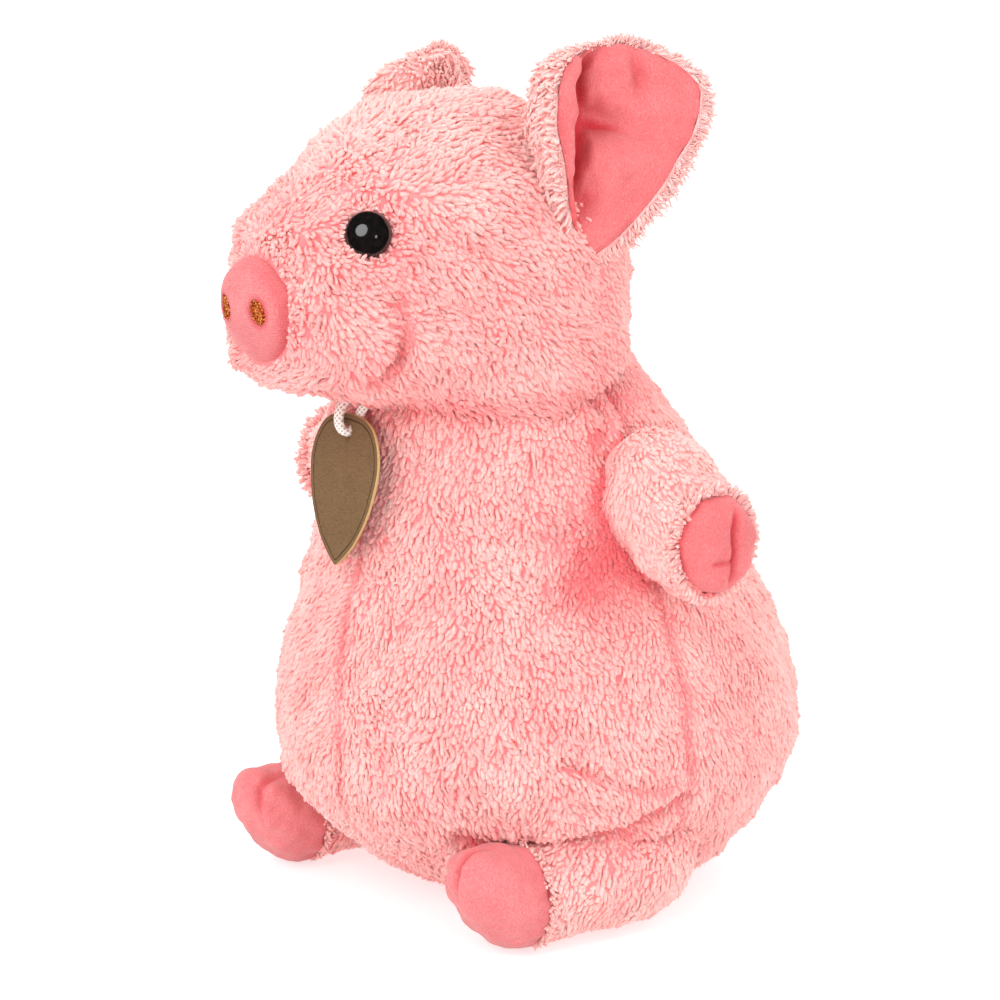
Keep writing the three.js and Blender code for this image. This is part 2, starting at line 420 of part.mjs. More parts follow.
// drawn upright, then leant about its top so that the point rests further forward on the belly
const TAG_TOP = [0, -63.2, 137], TAG_LEAN = 7.5;
const TAG_PROFILE = [[135.7, 0], [135.3, 4.2], [134.6, 7.2], [132.7, 10.3], [130, 12.3], [127, 13.6], [123, 14.3], [119, 14], [113, 12.6], [109.5, 11.3], [106, 9.5], [102, 6.9], [98.8, 3.9], [96.7, 1.4], [95.9, 0]];
{
  const out = [], hole = [];
  for (const [z, x] of TAG_PROFILE) out.push(new THREE.Vector2(x, z));
  for (const [z, x] of TAG_PROFILE.slice(1, -1).reverse()) out.push(new THREE.Vector2(-x, z));
  for (let i = 0; i < 12; i++) hole.push(new THREE.Vector2(HOLE[0] + HOLE_R * Math.cos(i / 6 * Math.PI), HOLE[1] + HOLE_R * Math.sin(i / 6 * Math.PI)));
  add('hang_tag', 'tag', about(plate(out, hole, TAG_TOP[1] - TAG_T / 2, TAG_TOP[1] + TAG_T / 2), TAG_TOP, [-1, 0, 0], TAG_LEAN), 'card');
}
// flat card in the x-z plane between two y values, with one hole
function plate(out, hole, y0, y1) {
  const faces = THREE.ShapeUtils.triangulateShape(out, [hole]), all = out.concat(hole), n = all.length;
  const pos = [], tri = [];
  for (const y of [y0, y1]) for (const p of all) pos.push(p.x, y, p.y);
  const up = (p) => THREE.ShapeUtils.area(p) > 0 ? 1 : -1;
  for (const [a, b, c] of faces) {
    const w = up([all[a], all[b], all[c]]) > 0;
    tri.push(...(w ? [a, b, c, n + a, n + c, n + b] : [a, c, b, n + a, n + b, n + c]));
  }
  const wall = (from, m, ccw) => {
    for (let i = 0; i < m; i++) {
      const p = from + i, q = from + (i + 1) % m;
      tri.push(...(ccw ? [p, n + q, q, p, n + p, n + q] : [p, q, n + q, p, n + q, n + p]));
    }
  };
  wall(0, out.length, up(out) > 0);
  wall(out.length, hole.length, up(hole) < 0);
  return solid(pos, tri);
}
// cord loop through the hole, up to the neck seam
{
  const pts = [], N = 18, R = 1.1, n = 6;
  for (let i = 0; i < N; i++) {
    const t = (i / N) * 2 * Math.PI;
    pts.push(V([0, -63.75 + 2.5 * Math.sin(t), 134.2 - 3.1 * Math.cos(t)]));
  }
  const pos = [], tri = [];
  for (let i = 0; i < N; i++) {
    const tan = pts[(i + 1) % N].clone().sub(pts[(i + N - 1) % N]).normalize(), b = V([1, 0, 0]), a = b.clone().cross(tan).normalize();
    for (let j = 0; j < n; j++) {
      const t = (j / n) * 2 * Math.PI, q = pts[i].clone().addScaledVector(a, R * Math.cos(t)).addScaledVector(b, R * Math.sin(t));
      pos.push(q.x, q.y, q.z);
    }
  }
  for (let i = 0; i < N; i++) for (let j = 0; j < n; j++) {
    const k = (i + 1) % N, l = (j + 1) % n;
    tri.push(i * n + j, i * n + l, k * n + l, i * n + j, k * n + l, k * n + j);
  }
  add('tag_cord', 'tag', solid(pos, tri), 'satin');
}

// care label: a small blank satin tab in the back seam
{
  const a = -0.24, c = [Math.sin(a), Math.cos(a)], r0 = 70.2;
  const P = [], W = 8, T = 0.5;
  const at = (s, d, z) => { const r = r0 + d - (30 - z) * 0.3; return [c[0] * r + c[1] * s, -1 + c[1] * r - c[0] * s, z]; };
  for (const z of [12, 30]) for (const [s, d] of [[-W, 0], [W, 0], [W, T], [-W, T]]) P.push(...at(s, d, z));
  const Q = [0, 2, 1, 0, 3, 2, 4, 5, 6, 4, 6, 7, 0, 1, 5, 0, 5, 4, 1, 2, 6, 1, 6, 5, 2, 3, 7, 2, 7, 6, 3, 0, 4, 3, 4, 7];
  add('care_label', 'torso', solid(P, Q), 'satin');
}

// ---- scene ----
// the origin is put under the middle of the whole
const SHIFT_Y = 6.98;
const root = new THREE.Group();
for (const { name, m, mat } of parts) {
  const mesh = m.translate([0, SHIFT_Y, 0]).getMesh();
  const geo = new THREE.BufferGeometry();
  geo.setAttribute('position', new THREE.BufferAttribute(new Float32Array(mesh.vertProperties), 3));
  geo.setIndex(new THREE.BufferAttribute(new Uint32Array(mesh.triVerts), 1));
  const d = MAT[mat];
  const o = new THREE.Mesh(geo, new THREE.MeshStandardMaterial({ color: d.color, roughness: d.roughness, metalness: d.metalness }));
  o.name = name;
  root.add(o);
}
export default root;
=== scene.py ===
"""A sitting plush pig in pile fabric and velour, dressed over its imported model.

Numbers below are millimetres in the part's own drawing coordinates: the pig faces -Y, its left is +X and
the floor is z = 0. put() moves them into the frame and turns them into metres.
"""

import math

import bpy
import numpy as np
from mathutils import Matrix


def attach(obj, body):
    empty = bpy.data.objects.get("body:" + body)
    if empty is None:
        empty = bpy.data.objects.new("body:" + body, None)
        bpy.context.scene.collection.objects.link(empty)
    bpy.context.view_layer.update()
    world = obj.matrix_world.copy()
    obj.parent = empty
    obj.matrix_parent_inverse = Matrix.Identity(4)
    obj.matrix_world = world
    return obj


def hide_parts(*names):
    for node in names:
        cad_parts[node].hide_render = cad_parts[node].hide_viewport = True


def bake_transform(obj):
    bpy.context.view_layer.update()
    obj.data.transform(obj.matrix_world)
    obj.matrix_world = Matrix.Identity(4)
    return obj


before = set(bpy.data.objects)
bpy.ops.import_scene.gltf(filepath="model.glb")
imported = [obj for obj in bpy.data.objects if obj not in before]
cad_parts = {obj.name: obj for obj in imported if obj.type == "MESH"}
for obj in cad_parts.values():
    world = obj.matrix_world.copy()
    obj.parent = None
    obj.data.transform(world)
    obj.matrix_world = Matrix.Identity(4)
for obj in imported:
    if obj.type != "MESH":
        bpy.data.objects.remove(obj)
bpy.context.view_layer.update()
SHIFT = np.array([0.0, 6.98, 0.0])
MM = 0.001


def put(v):
    return (np.asarray(v, float) + SHIFT) * MM


# ---------------------------------------------------------------- camera and light
scene = bpy.context.scene
cam = bpy.data.objects.new("camera", bpy.data.cameras.new("camera"))
scene.collection.objects.link(cam)
cam.data.sensor_width = 36.0
cam.data.lens = 121.5
cam.data.clip_start = 0.05
cam.data.clip_end = 20.0
from mathutils import Vector

CAM_AT = Vector((0.68944, -0.57148, 0.290))
LOOK_AT = Vector((-0.00662, -0.00087, 0.1045))
cam.location = CAM_AT
cam.rotation_euler = (LOOK_AT - CAM_AT).to_track_quat("-Z", "Y").to_euler()
scene.camera = cam
scene.view_settings.view_transform = "Standard"
scene.view_settings.look = "None"
scene.view_settings.exposure = 0.0
scene.view_settings.gamma = 1.0


def area_light(name, at, to, size, power, colour=(1, 1, 1), shape="RECTANGLE"):
    d = bpy.data.lights.new(name, "AREA")
    d.shape = shape
    d.size = size[0]
    if shape == "RECTANGLE":
        d.size_y = size[1]
    d.energy = power
    d.color = colour
    o = bpy.data.objects.new(name, d)
    o.location = at
    o.rotation_euler = (Vector(to) - Vector(at)).to_track_quat("-Z", "Y").to_euler()
    scene.collection.objects.link(o)
    return o


world = bpy.data.worlds.new("studio")
scene.world = world
world.use_nodes = True
world.cycles_visibility.glossy = False
world.node_tree.nodes["Background"].inputs["Color"].default_value = (1.0, 0.995, 0.99, 1)
world.node_tree.nodes["Background"].inputs["Strength"].default_value = 1.34
area_light("key", (0.35, -1.25, 1.05), (0, -0.02, 0.12), (0.8, 0.8), 7.0, shape="DISK")
area_light("top", (-0.5, -0.15, 1.4), (0, 0, 0.1), (1.1, 1.1), 3.6).visible_glossy = False
area_light("side", (1.3, 0.25, 0.75), (0, 0, 0.12), (0.6, 0.9), 3.0).visible_glossy = False
area_light("front", (0.75, -1.35, 0.32), (0, 0, 0.10), (1.5, 0.5), 3.6).visible_glossy = False
area_light("spark", (1.25, -0.62, 0.62), (0, -0.06, 0.16), (0.16, 0.2), 0.5)


# ---------------------------------------------------------------- node helpers
class Mat:
    """A material with a Principled shader and short calls that add nodes."""

    def __init__(self, name, rough=0.8, base=(0.8, 0.8, 0.8)):
        self.m = bpy.data.materials.new(name)
        self.m.use_nodes = True
        self.t = self.m.node_tree
        self.b = self.t.nodes["Principled BSDF"]
        self.b.inputs["Roughness"].default_value = rough
        self.b.inputs["Base Color"].default_value = (*base, 1)

    def set(self, **kw):
        for k, v in kw.items():
            k = k.replace("_", " ")
            s = self.b.inputs[k]
            s.default_value = (*v, 1) if isinstance(v, tuple) and len(v) == 3 else v
        return self

    def node(self, kind, **props):
        n = self.t.nodes.new(kind)
        for k, v in props.items():
            setattr(n, k, v)
        return n

    def link(self, a, b):
        self.t.links.new(a, b)

    def place(self, scale=1.0, stretch=(1, 1, 1)):
        """Object coordinates in millimetres times scale."""
        c = self.node("ShaderNodeTexCoord")
        m = self.node("ShaderNodeMapping")
        m.inputs["Scale"].default_value = tuple(1000 * scale * s for s in stretch)
        self.link(c.outputs["Object"], m.inputs["Vector"])
        return m.outputs["Vector"]

    def noise(self, vector, scale=1.0, detail=2.0, rough=0.55, distort=0.0):
        n = self.node("ShaderNodeTexNoise")
        n.inputs["Scale"].default_value = scale
        n.inputs["Detail"].default_value = detail
        n.inputs["Roughness"].default_value = rough
        n.inputs["Distortion"].default_value = distort
        self.link(vector, n.inputs["Vector"])
        return n.outputs["Fac"]

    def ramp(self, fac, stops, mode="LINEAR"):
        r = self.node("ShaderNodeValToRGB")
        r.color_ramp.interpolation = mode
        e = r.color_ramp.elements
        while len(e) < len(stops):
            e.new(0.5)
        for el, (p, c) in zip(e, stops):
            el.position = p
            el.color = (*c, 1) if len(c) == 3 else c
        self.link(fac, r.inputs["Fac"])
        return r.outputs["Color"]

    def mix(self, fac, a, b, mode="MIX"):
        n = self.node("ShaderNodeMix", data_type="RGBA", blend_type=mode)
        for sock, val in ((n.inputs["Factor"], fac), (n.inputs[6], a), (n.inputs[7], b)):
            if hasattr(val, "is_output"):
                self.link(val, sock)
            else:
                sock.default_value = (*val, 1) if isinstance(val, tuple) else val
        return n.outputs[2]

    def maths(self, op, a, b=0.0):
        n = self.node("ShaderNodeMath", operation=op)
        for sock, val in ((n.inputs[0], a), (n.inputs[1], b)):
            if hasattr(val, "is_output"):
                self.link(val, sock)
            else:
                sock.default_value = val
        return n.outputs[0]

    def bump(self, height, dist=0.0003, strength=1.0, after=None):
        n = self.node("ShaderNodeBump")
        n.inputs["Strength"].default_value = strength
        n.inputs["Distance"].default_value = dist
        self.link(height, n.inputs["Height"])
        if after is not None:
            self.link(after, n.inputs["Normal"])
        return n.outputs["Normal"]

    def colour(self, out):
        self.link(out, self.b.inputs["Base Color"])

    def normal(self, out):
        self.link(out, self.b.inputs["Normal"])

    def rough(self, out):
        self.link(out, self.b.inputs["Roughness"])


def lin(r, g, b):
    """sRGB 0-255 to linear."""
    return tuple(((c / 255 + 0.055) / 1.055) ** 2.4 if c > 10 else c / 255 / 12.92 for c in (r, g, b))


# ---------------------------------------------------------------- materials
def fur_material():
    m = Mat("pile_fabric", rough=0.9)
    m.set(Sheen_Weight=0.35, Sheen_Roughness=0.45, Sheen_Tint=(1.0, 0.86, 0.82), Specular_IOR_Level=0.2,
          Subsurface_Weight=0.5, Subsurface_Scale=0.001)
    m.b.inputs["Subsurface Radius"].default_value = (1.0, 0.5, 0.45)
    uv = m.node("ShaderNodeUVMap", uv_map="fur")
    sep = m.node("ShaderNodeSeparateXYZ")
    m.link(uv.outputs["UV"], sep.inputs["Vector"])
    u, v = sep.outputs["X"], sep.outputs["Y"]
    # u is each clump's tone and v runs from root to tip: the low tones (deep) carry the shade painted into creases and
    # hollows, the highest (light) carry the light painted onto the limbs, ears and crown
    deep = m.ramp(v, [(0.0, lin(236, 92, 98)), (0.3, lin(238, 98, 104)), (1.0, lin(240, 112, 116))])
    pale = m.ramp(v, [(0.0, lin(255, 145, 147)), (0.26, lin(254, 164, 162)), (0.52, lin(251, 173, 169)), (1.0, lin(249, 170, 166))])
    light = m.ramp(v, [(0.0, lin(255, 166, 164)), (0.34, lin(254, 191, 186)), (1.0, lin(252, 191, 185))])
    base = m.mix(m.ramp(u, [(0.0, (0, 0, 0)), (0.28, (0.5, 0.5, 0.5)), (0.55, (0.92, 0.92, 0.92)), (0.7, (1, 1, 1))]), deep, pale)
    base = m.mix(m.ramp(u, [(0.66, (0, 0, 0)), (1.0, (1, 1, 1))]), base, light)
    st = m.node("ShaderNodeMapping")
    st.inputs["Scale"].default_value = (190.0, 1.6, 1.0)
    m.link(uv.outputs["UV"], st.inputs["Vector"])
    streak = m.noise(st.outputs["Vector"], 1.0, 2.0, 0.6)
    shade = m.ramp(streak, [(0.3, (0.97, 0.93, 0.93)), (0.7, (1.0, 1.0, 1.0))])
    m.colour(m.mix(0.85, base, shade, "MULTIPLY"))
    m.normal(m.bump(streak, 0.00025, 0.6))
    return m.m


def velour_material(name="velour", ribs=None, deep=1.0):
    m = Mat(name, rough=0.85)
    m.set(Sheen_Weight=0.4, Sheen_Roughness=0.4, Sheen_Tint=(0.9, 0.68, 0.66), Specular_IOR_Level=0.2)
    p = m.place()
    big = m.noise(p, 0.11, 2.0, 0.5)
    nap = m.noise(m.place(stretch=(1.0, 1.0, 0.5)), 3.0, 3.0, 0.6, 0.7)
    fine = m.noise(p, 6.0, 1.0, 0.5)
    # the nap's colour follows the same noise as its bump, darker in the hollows and paler on the raised strokes:
    # partly the fabric's grain, partly painted shade and sheen
    base = m.ramp(nap, [(0.28, lin(204, 90 * deep, 93 * deep)), (0.5, lin(211, 108 * deep, 110 * deep)), (0.74, lin(219, 130 * deep, 130 * deep))])
    warm = m.ramp(big, [(0.35, (0.93, 0.86, 0.87)), (0.65, (1.0, 1.0, 1.0))])
    col = m.mix(1.0, base, warm, "MULTIPLY")
    # the map "shade" runs from 0 in the open to 1 in the folds
    uv = m.node("ShaderNodeUVMap", uv_map="shade")
    sep = m.node("ShaderNodeSeparateXYZ")
    m.link(uv.outputs["UV"], sep.inputs["Vector"])
    col = m.mix(sep.outputs["X"], col, m.mix(1.0, col, (0.84, 0.24, 0.30), "MULTIPLY"))
    h = m.maths("ADD", nap, m.maths("MULTIPLY", fine, 0.4))
    if ribs:
        w = m.node("ShaderNodeTexWave", wave_type="BANDS", bands_direction="Z", wave_profile="SIN")
        w.inputs["Scale"].default_value = ribs
        w.inputs["Distortion"].default_value = 1.2
        w.inputs["Detail"].default_value = 1.0
        w.inputs["Detail Scale"].default_value = 1.5
        m.link(p, w.inputs["Vector"])
        # the ribs are painted darker in their grooves: painted shade following the ribs' bump
        col = m.mix(0.35, col, m.ramp(w.outputs["Fac"], [(0.0, (0.86, 0.80, 0.80)), (1.0, (1.0, 1.0, 1.0))]), "MULTIPLY")
        h = m.maths("ADD", m.maths("MULTIPLY", h, 0.5), m.maths("MULTIPLY", w.outputs["Fac"], 0.9))
    m.colour(col)
    m.normal(m.bump(h, 0.00022, 0.75))
    return m.m


def plain(name, stops, scale, rough, dist, detail=3.0, **kw):
    """Colour and bump from one noise."""
    m = Mat(name, rough=rough)
    m.set(**kw)
    f = m.noise(m.place(), scale, detail)
    m.colour(m.ramp(f, stops))
    m.normal(m.bump(f, dist, 0.8))
    return m.m


FUR = fur_material()
# one velour in three tones, each set to how bright that part looks: the ears' inner faces and the arm hooves darker,
# the leg hooves and tail paler, the ribbed snout palest; partly painted light and shade
VELOUR = velour_material(deep=1.10)
VELOUR_DEEP = velour_material("velour_darker_tone", deep=1.02)
SNOUT_MAT = velour_material("ribbed_velour", ribs=0.42, deep=1.13)
FIBRE = plain("polyester_fibre", [(0.3, lin(222, 218, 210)), (0.7, lin(248, 247, 243))], 0.5, 0.95, 0.0006)
PELLETS = plain("pellet_cloth", [(0.35, lin(196, 189, 172)), (0.65, lin(226, 221, 206))], 0.9, 0.9, 0.0005)
WASHER = plain("washer_plastic", [(0.3, lin(222, 220, 214)), (0.7, lin(238, 236, 230))], 1.2, 0.45, 0.00004)


def eye_material():
    m = Mat("eye_plastic", rough=0.07)
    m.set(Specular_IOR_Level=0.7)
    f = m.noise(m.place(), 0.7, 2.0)
    m.colour(m.ramp(f, [(0.3, (0.0035, 0.003, 0.003)), (0.7, (0.009, 0.007, 0.007))]))
    return m.m


def thread_material():
    m = Mat("copper_thread", rough=0.34)
    m.set(Metallic=0.35, Specular_IOR_Level=0.6)
    p = m.place()
    glit = m.node("ShaderNodeTexVoronoi")
    glit.inputs["Scale"].default_value = 3.6
    m.link(p, glit.inputs["Vector"])
    sep = m.node("ShaderNodeSeparateColor")
    m.link(glit.outputs["Color"], sep.inputs["Color"])
    # each flake gets a colour from dark copper to pale gold: partly the thread's own copper tones, and the palest
    # flakes are painted glints
    m.colour(m.ramp(sep.outputs[0], [(0.15, lin(112, 30, 8)), (0.45, lin(196, 76, 24)), (0.8, lin(240, 122, 44)), (0.95, lin(255, 206, 130))]))
    m.normal(m.bump(sep.outputs[1], 0.0002, 0.9))
    return m.m


def card_material():
    m = Mat("kraft_card", rough=0.72)
    m.set(Specular_IOR_Level=0.35)
    uv = m.node("ShaderNodeUVMap", uv_map="card")
    sep = m.node("ShaderNodeSeparateXYZ")
    m.link(uv.outputs["UV"], sep.inputs["Vector"])
    p = m.place()
    fib = m.noise(m.place(1.0, (0.5, 1, 2.6)), 1.4, 4.0, 0.7)
    big = m.noise(p, 0.12, 2.0)
    face = m.mix(1.0, m.ramp(fib, [(0.3, lin(98, 73, 45)), (0.55, lin(116, 88, 57)), (0.75, lin(130, 101, 69))]), m.ramp(big, [(0.3, (0.92, 0.91, 0.9)), (0.7, (1, 1, 1))]), "MULTIPLY")
    # u: 0 on the faces, 1 on the cut edge; v: 1 in the pressed border line
    side = m.ramp(sep.outputs["X"], [(0.45, (0, 0, 0)), (0.55, (1, 1, 1))])
    line = m.ramp(sep.outputs["Y"], [(0.35, (0, 0, 0)), (0.65, (1, 1, 1))])
    col = m.mix(side, face, m.ramp(fib, [(0.3, lin(168, 138, 88)), (0.7, lin(196, 166, 114))]))
    col = m.mix(line, col, m.ramp(fib, [(0.3, lin(62, 40, 20)), (0.7, lin(80, 54, 30))]))
    m.colour(col)
    m.normal(m.bump(fib, 0.00006, 0.8))
    return m.m


def satin_material(name="satin", stretch=(1, 1, 1)):
    m = Mat(name, rough=0.38)
    m.set(Sheen_Weight=0.3, Sheen_Roughness=0.3, Specular_IOR_Level=0.6)
    w = m.noise(m.place(1.0, stretch), 4.5, 2.0, 0.5)
    m.colour(m.ramp(w, [(0.3, lin(226, 214, 206)), (0.6, lin(246, 238, 231)), (0.8, lin(255, 250, 246))]))
    m.normal(m.bump(w, 0.00015, 0.8))
    return m.m


def braid_material():
    """White satin strands crossing each other round the cord."""
    m = Mat("satin_braid", rough=0.36)
    m.set(Sheen_Weight=0.25, Sheen_Roughness=0.3, Specular_IOR_Level=0.6)
    p = m.place()
    sep = m.node("ShaderNodeSeparateXYZ")
    m.link(p, sep.inputs["Vector"])
    x = m.maths("ADD", sep.outputs["X"], m.maths("MULTIPLY", sep.outputs["Y"], 0.55))
    z = sep.outputs["Z"]
    up = m.maths("ADD", m.maths("SINE", m.maths("MULTIPLY", m.maths("ADD", z, x), 4.6)), 0.0)
    down = m.maths("SINE", m.maths("MULTIPLY", m.maths("SUBTRACT", z, x), 4.6))
    h = m.maths("MAXIMUM", up, down)
    fine = m.noise(m.place(1.0, (1, 1, 2)), 5.0, 2.0)
    hh = m.maths("ADD", m.maths("MULTIPLY", h, 0.6), m.maths("MULTIPLY", fine, 0.4))
    # the colour follows the strands' height: darker in the grooves where they cross, paler on their crests, painted
    # shade and light
    m.colour(m.ramp(hh, [(0.0, lin(196, 176, 164)), (0.35, lin(232, 218, 206)), (0.62, lin(248, 240, 232)), (0.9, lin(255, 251, 247))]))
    m.normal(m.bump(hh, 0.00022, 0.9))
    return m.m


EYE_MAT, THREAD, CARD, SATIN, BRAID = eye_material(), thread_material(), card_material(), satin_material(), braid_material()


# ---------------------------------------------------------------- numbers
def pchip(x, y):
    x, y = np.asarray(x, float), np.asarray(y, float)
    h, d = np.diff(x), np.diff(y) / np.diff(x)
    m = np.zeros(len(x))
    for i in range(1, len(x) - 1):
        if d[i - 1] * d[i] > 0:
            a, b = 2 * h[i] + h[i - 1], h[i] + 2 * h[i - 1]
            m[i] = (a + b) / (a / d[i - 1] + b / d[i])
    m[0], m[-1] = d[0], d[-1]

    def f(v):
        v = np.clip(np.asarray(v, float), x[0], x[-1])
        i = np.clip(np.searchsorted(x, v, side="right") - 1, 0, len(h) - 1)
        t = (v - x[i]) / h[i]
        return (y[i] * (2 * t**3 - 3 * t**2 + 1) + h[i] * m[i] * (t**3 - 2 * t**2 + t)
                + y[i + 1] * (3 * t**2 - 2 * t**3) + h[i] * m[i + 1] * (t**3 - t**2))

    return f


def waves(seed, size, n=18):
    """A smooth noise with a spread of about 1, of lumps about size mm across."""
    r = np.random.default_rng(seed)
    k = r.normal(size=(n, 3))
    k *= (2 * np.pi / (2.0 * size)) * r.uniform(0.6, 1.5, (n, 1)) / np.linalg.norm(k, axis=1, keepdims=True)
    ph = r.uniform(0, 2 * np.pi, n)
    return lambda P: np.sin(P @ k.T + ph).sum(-1) * math.sqrt(2 / n)


def swirl(seed, size):
    f = [waves(seed + i, size) for i in range(3)]
    return lambda P: np.stack([g(P) for g in f], -1)


def unit(v):
    return v / np.maximum(np.linalg.norm(v, axis=-1, keepdims=True), 1e-9)


def smooth(a, b, v):
    t = np.clip((v - a) / (b - a), 0, 1)
    return t * t * (3 - 2 * t)


def near_line(P, line):
    """Distance from each point to a polyline."""
    L = np.asarray(line, float)
    best = np.full(len(P), 1e9)
    for a, b in zip(L[:-1], L[1:]):
        ab = b - a
        t = np.clip(((P - a) @ ab) / (ab @ ab), 0, 1)
        best = np.minimum(best, np.linalg.norm(P - a - t[:, None] * ab, axis=1))
    return best


def grid_quads(nr, nc, closed=True):
    i = np.arange(nr - 1)[:, None]
    j = np.arange(nc if closed else nc - 1)[None]
    a, b = i * nc + j, i * nc + (j + 1) % nc
    return np.stack([a, b, b + nc, a + nc], -1).reshape(-1, 4)


def normals(V, Q):
    n = np.cross(V[Q[:, 2]] - V[Q[:, 0]], V[Q[:, 3]] - V[Q[:, 1]])
    out = np.zeros_like(V)
    for k in range(4):
        for c in range(3):
            out[:, c] += np.bincount(Q[:, k], n[:, c], len(V))
    return unit(out)


def outward(V, Q, centre):
    """Q turned so that its normals look away from centre, and the normals."""
    N = normals(V, Q)
    if ((V - centre) * N).sum() < 0:
        Q, N = Q[:, ::-1].copy(), -N
    return Q, N


def compact(V, faces, *more):
    used = np.unique(np.concatenate([f.ravel() for f in faces]))
    back = np.full(len(V), -1)
    back[used] = np.arange(len(used))
    return (V[used], [back[f] for f in faces], *[a[used] for a in more])


def make(name, V, faces, uv=None, mat=None, layer="fur", scale=True):
    """A mesh object from arrays. V in drawing millimetres."""
    me = bpy.data.meshes.new(name)
    W = put(V) if scale else np.asarray(V, float)
    me.vertices.add(len(W))
    me.vertices.foreach_set("co", W.astype(np.float32).ravel())
    loops = np.concatenate([f.ravel() for f in faces]).astype(np.int32)
    sizes = np.concatenate([np.full(len(f), f.shape[1]) for f in faces])
    starts = np.concatenate([[0], np.cumsum(sizes)[:-1]]).astype(np.int32)
    me.loops.add(len(loops))
    me.loops.foreach_set("vertex_index", loops)
    me.polygons.add(len(sizes))
    me.polygons.foreach_set("loop_start", starts)
    me.polygons.foreach_set("use_smooth", np.ones(len(sizes), bool))
    me.update(calc_edges=True)
    if uv is not None:
        for n in (layer, "OFBake") if layer == "fur" else (layer,):
            me.uv_layers.new(name=n).data.foreach_set("uv", uv[loops].astype(np.float32).ravel())
    o = bpy.data.objects.new(name, me)
    scene.collection.objects.link(o)
    if mat is not None:
        me.materials.append(mat)
    return o


def shell(V, Q, N, thick):
    """Closes an open sheet into a thin shell: the sheet, its inner copy and the rim."""
    n = len(V)
    e = np.concatenate([Q[:, [k, (k + 1) % 4]] for k in range(4)])
    key = np.sort(e, axis=1)
    _, inv, cnt = np.unique(key, axis=0, return_inverse=True, return_counts=True)
    rim = e[cnt[inv.ravel()] == 1]
    t = np.asarray(thick, float)
    inner = V - N * (t[:, None] if t.ndim else t)
    walls = np.stack([rim[:, 1], rim[:, 0], rim[:, 0] + n, rim[:, 1] + n], -1) if len(rim) else np.zeros((0, 4), int)
    return np.concatenate([V, inner]), np.concatenate([Q, Q[:, ::-1] + n, walls])


# ---------------------------------------------------------------- fur
def scatter(V, Q, N, gap, seed, keep=None):
    """Points on a quad sheet, no two closer than gap, and their normals. keep is a test on points."""
    r = np.random.default_rng(seed)
    T = np.concatenate([Q[:, [0, 1, 2]], Q[:, [0, 2, 3]]])
    ar = np.linalg.norm(np.cross(V[T[:, 1]] - V[T[:, 0]], V[T[:, 2]] - V[T[:, 0]]), axis=1) / 2
    n = int(ar.sum() / gap**2 * 3.2)
    c = np.cumsum(ar)
    f = np.searchsorted(c, r.random(n) * c[-1])
    a, b = r.random(n), r.random(n)
    over = a + b > 1
    a[over], b[over] = 1 - a[over], 1 - b[over]
    w = np.stack([1 - a - b, a, b], -1)[:, :, None]
    P, M = (V[T[f]] * w).sum(1), unit((N[T[f]] * w).sum(1))
    if keep is not None:
        k = keep(P)
        P, M = P[k], M[k]
    cell = np.floor(P / gap).astype(int)
    boxes, out, g2 = {}, [], gap * gap
    around = [(x, y, z) for x in (-1, 0, 1) for y in (-1, 0, 1) for z in (-1, 0, 1)]
    pts, cells = P.tolist(), cell.tolist()
    for i, (p, q) in enumerate(zip(pts, cells)):
        ok = True
        for d in around:
            j = boxes.get((q[0] + d[0], q[1] + d[1], q[2] + d[2]))
            if j is not None:
                for k in j:
                    o = pts[k]
                    if (p[0] - o[0]) ** 2 + (p[1] - o[1]) ** 2 + (p[2] - o[2]) ** 2 < g2:
                        ok = False
                        break
                if not ok:
                    break
        if ok:
            boxes.setdefault(tuple(q), []).append(i)
            out.append(i)
    return P[out], M[out]


def tufts(P, N, F, L, W, tone, lean0, lean1, side, sides=4, vs=(0.0, 0.44, 0.88), rs=(0.8, 1.0, 0.78), flat=0.85, sink=0.35, du=0.014):
    """Curved tapering clumps: vertices, triangles and (tone, root to tip) of each vertex."""
    n, k = len(P), len(vs)
    if n == 0:
        return np.zeros((0, 3)), np.zeros((0, 3), int), np.zeros((0, 2))
    B = unit(np.cross(N, F))
    turn = lean1 - lean0
    turn = np.where(np.abs(turn) < 0.02, 0.02, turn)

    def centre(v):
        a = lean0 + turn * v
        along, up = (np.cos(lean0) - np.cos(a)) / turn, (np.sin(a) - np.sin(lean0)) / turn
        return (P + N * (up * L - sink)[:, None] + F * (along * L)[:, None] + B * (side * L * v * v)[:, None]), a

    ang = (np.arange(sides) / sides) * 2 * np.pi
    rings = []
    for v, r in zip(vs, rs):
        c, a = centre(v)
        M = F * np.cos(a)[:, None] - N * np.sin(a)[:, None]
        rad = (W / 2 * r)[:, None]
        rings.append(np.stack([c + rad * (math.cos(t) * B + flat * math.sin(t) * M) for t in ang], 1))
    tip = centre(1.0)[0][:, None]
    X = np.concatenate(rings + [tip], 1)
    m = X.shape[1]
    tri = []
    for i in range(k - 1):
        for j in range(sides):
            a, b, c, d = i * sides + j, i * sides + (j + 1) % sides, (i + 1) * sides + j, (i + 1) * sides + (j + 1) % sides
            tri += [[a, b, d], [a, d, c]]
    for j in range(sides):
        tri.append([(k - 1) * sides + j, (k - 1) * sides + (j + 1) % sides, m - 1])
    T = (np.arange(n)[:, None, None] * m + np.array(tri)[None]).reshape(-1, 3)
    off = np.array({4: [-1, 0, 1, 0], 3: [-1, 1, 0]}[sides], float) * du
    u = np.concatenate([np.tile(off, k), [0.0]])[None] + tone[:, None]
    v = np.concatenate([np.repeat(vs, sides), [1.0]])
    uv = np.stack([np.clip(u, 0.002, 0.998), np.broadcast_to(0.06 + 0.93 * v, u.shape)], -1)
    return X.reshape(-1, 3), T, uv.reshape(-1, 2)


TONE_A, TONE_B = waves(501, 9.0), waves(502, 2.6)
SWIRL_A, SWIRL_B = swirl(511, 15.0), swirl(521, 5.0)
LEN_A = waves(531, 5.0)
FLOOR = 0.25


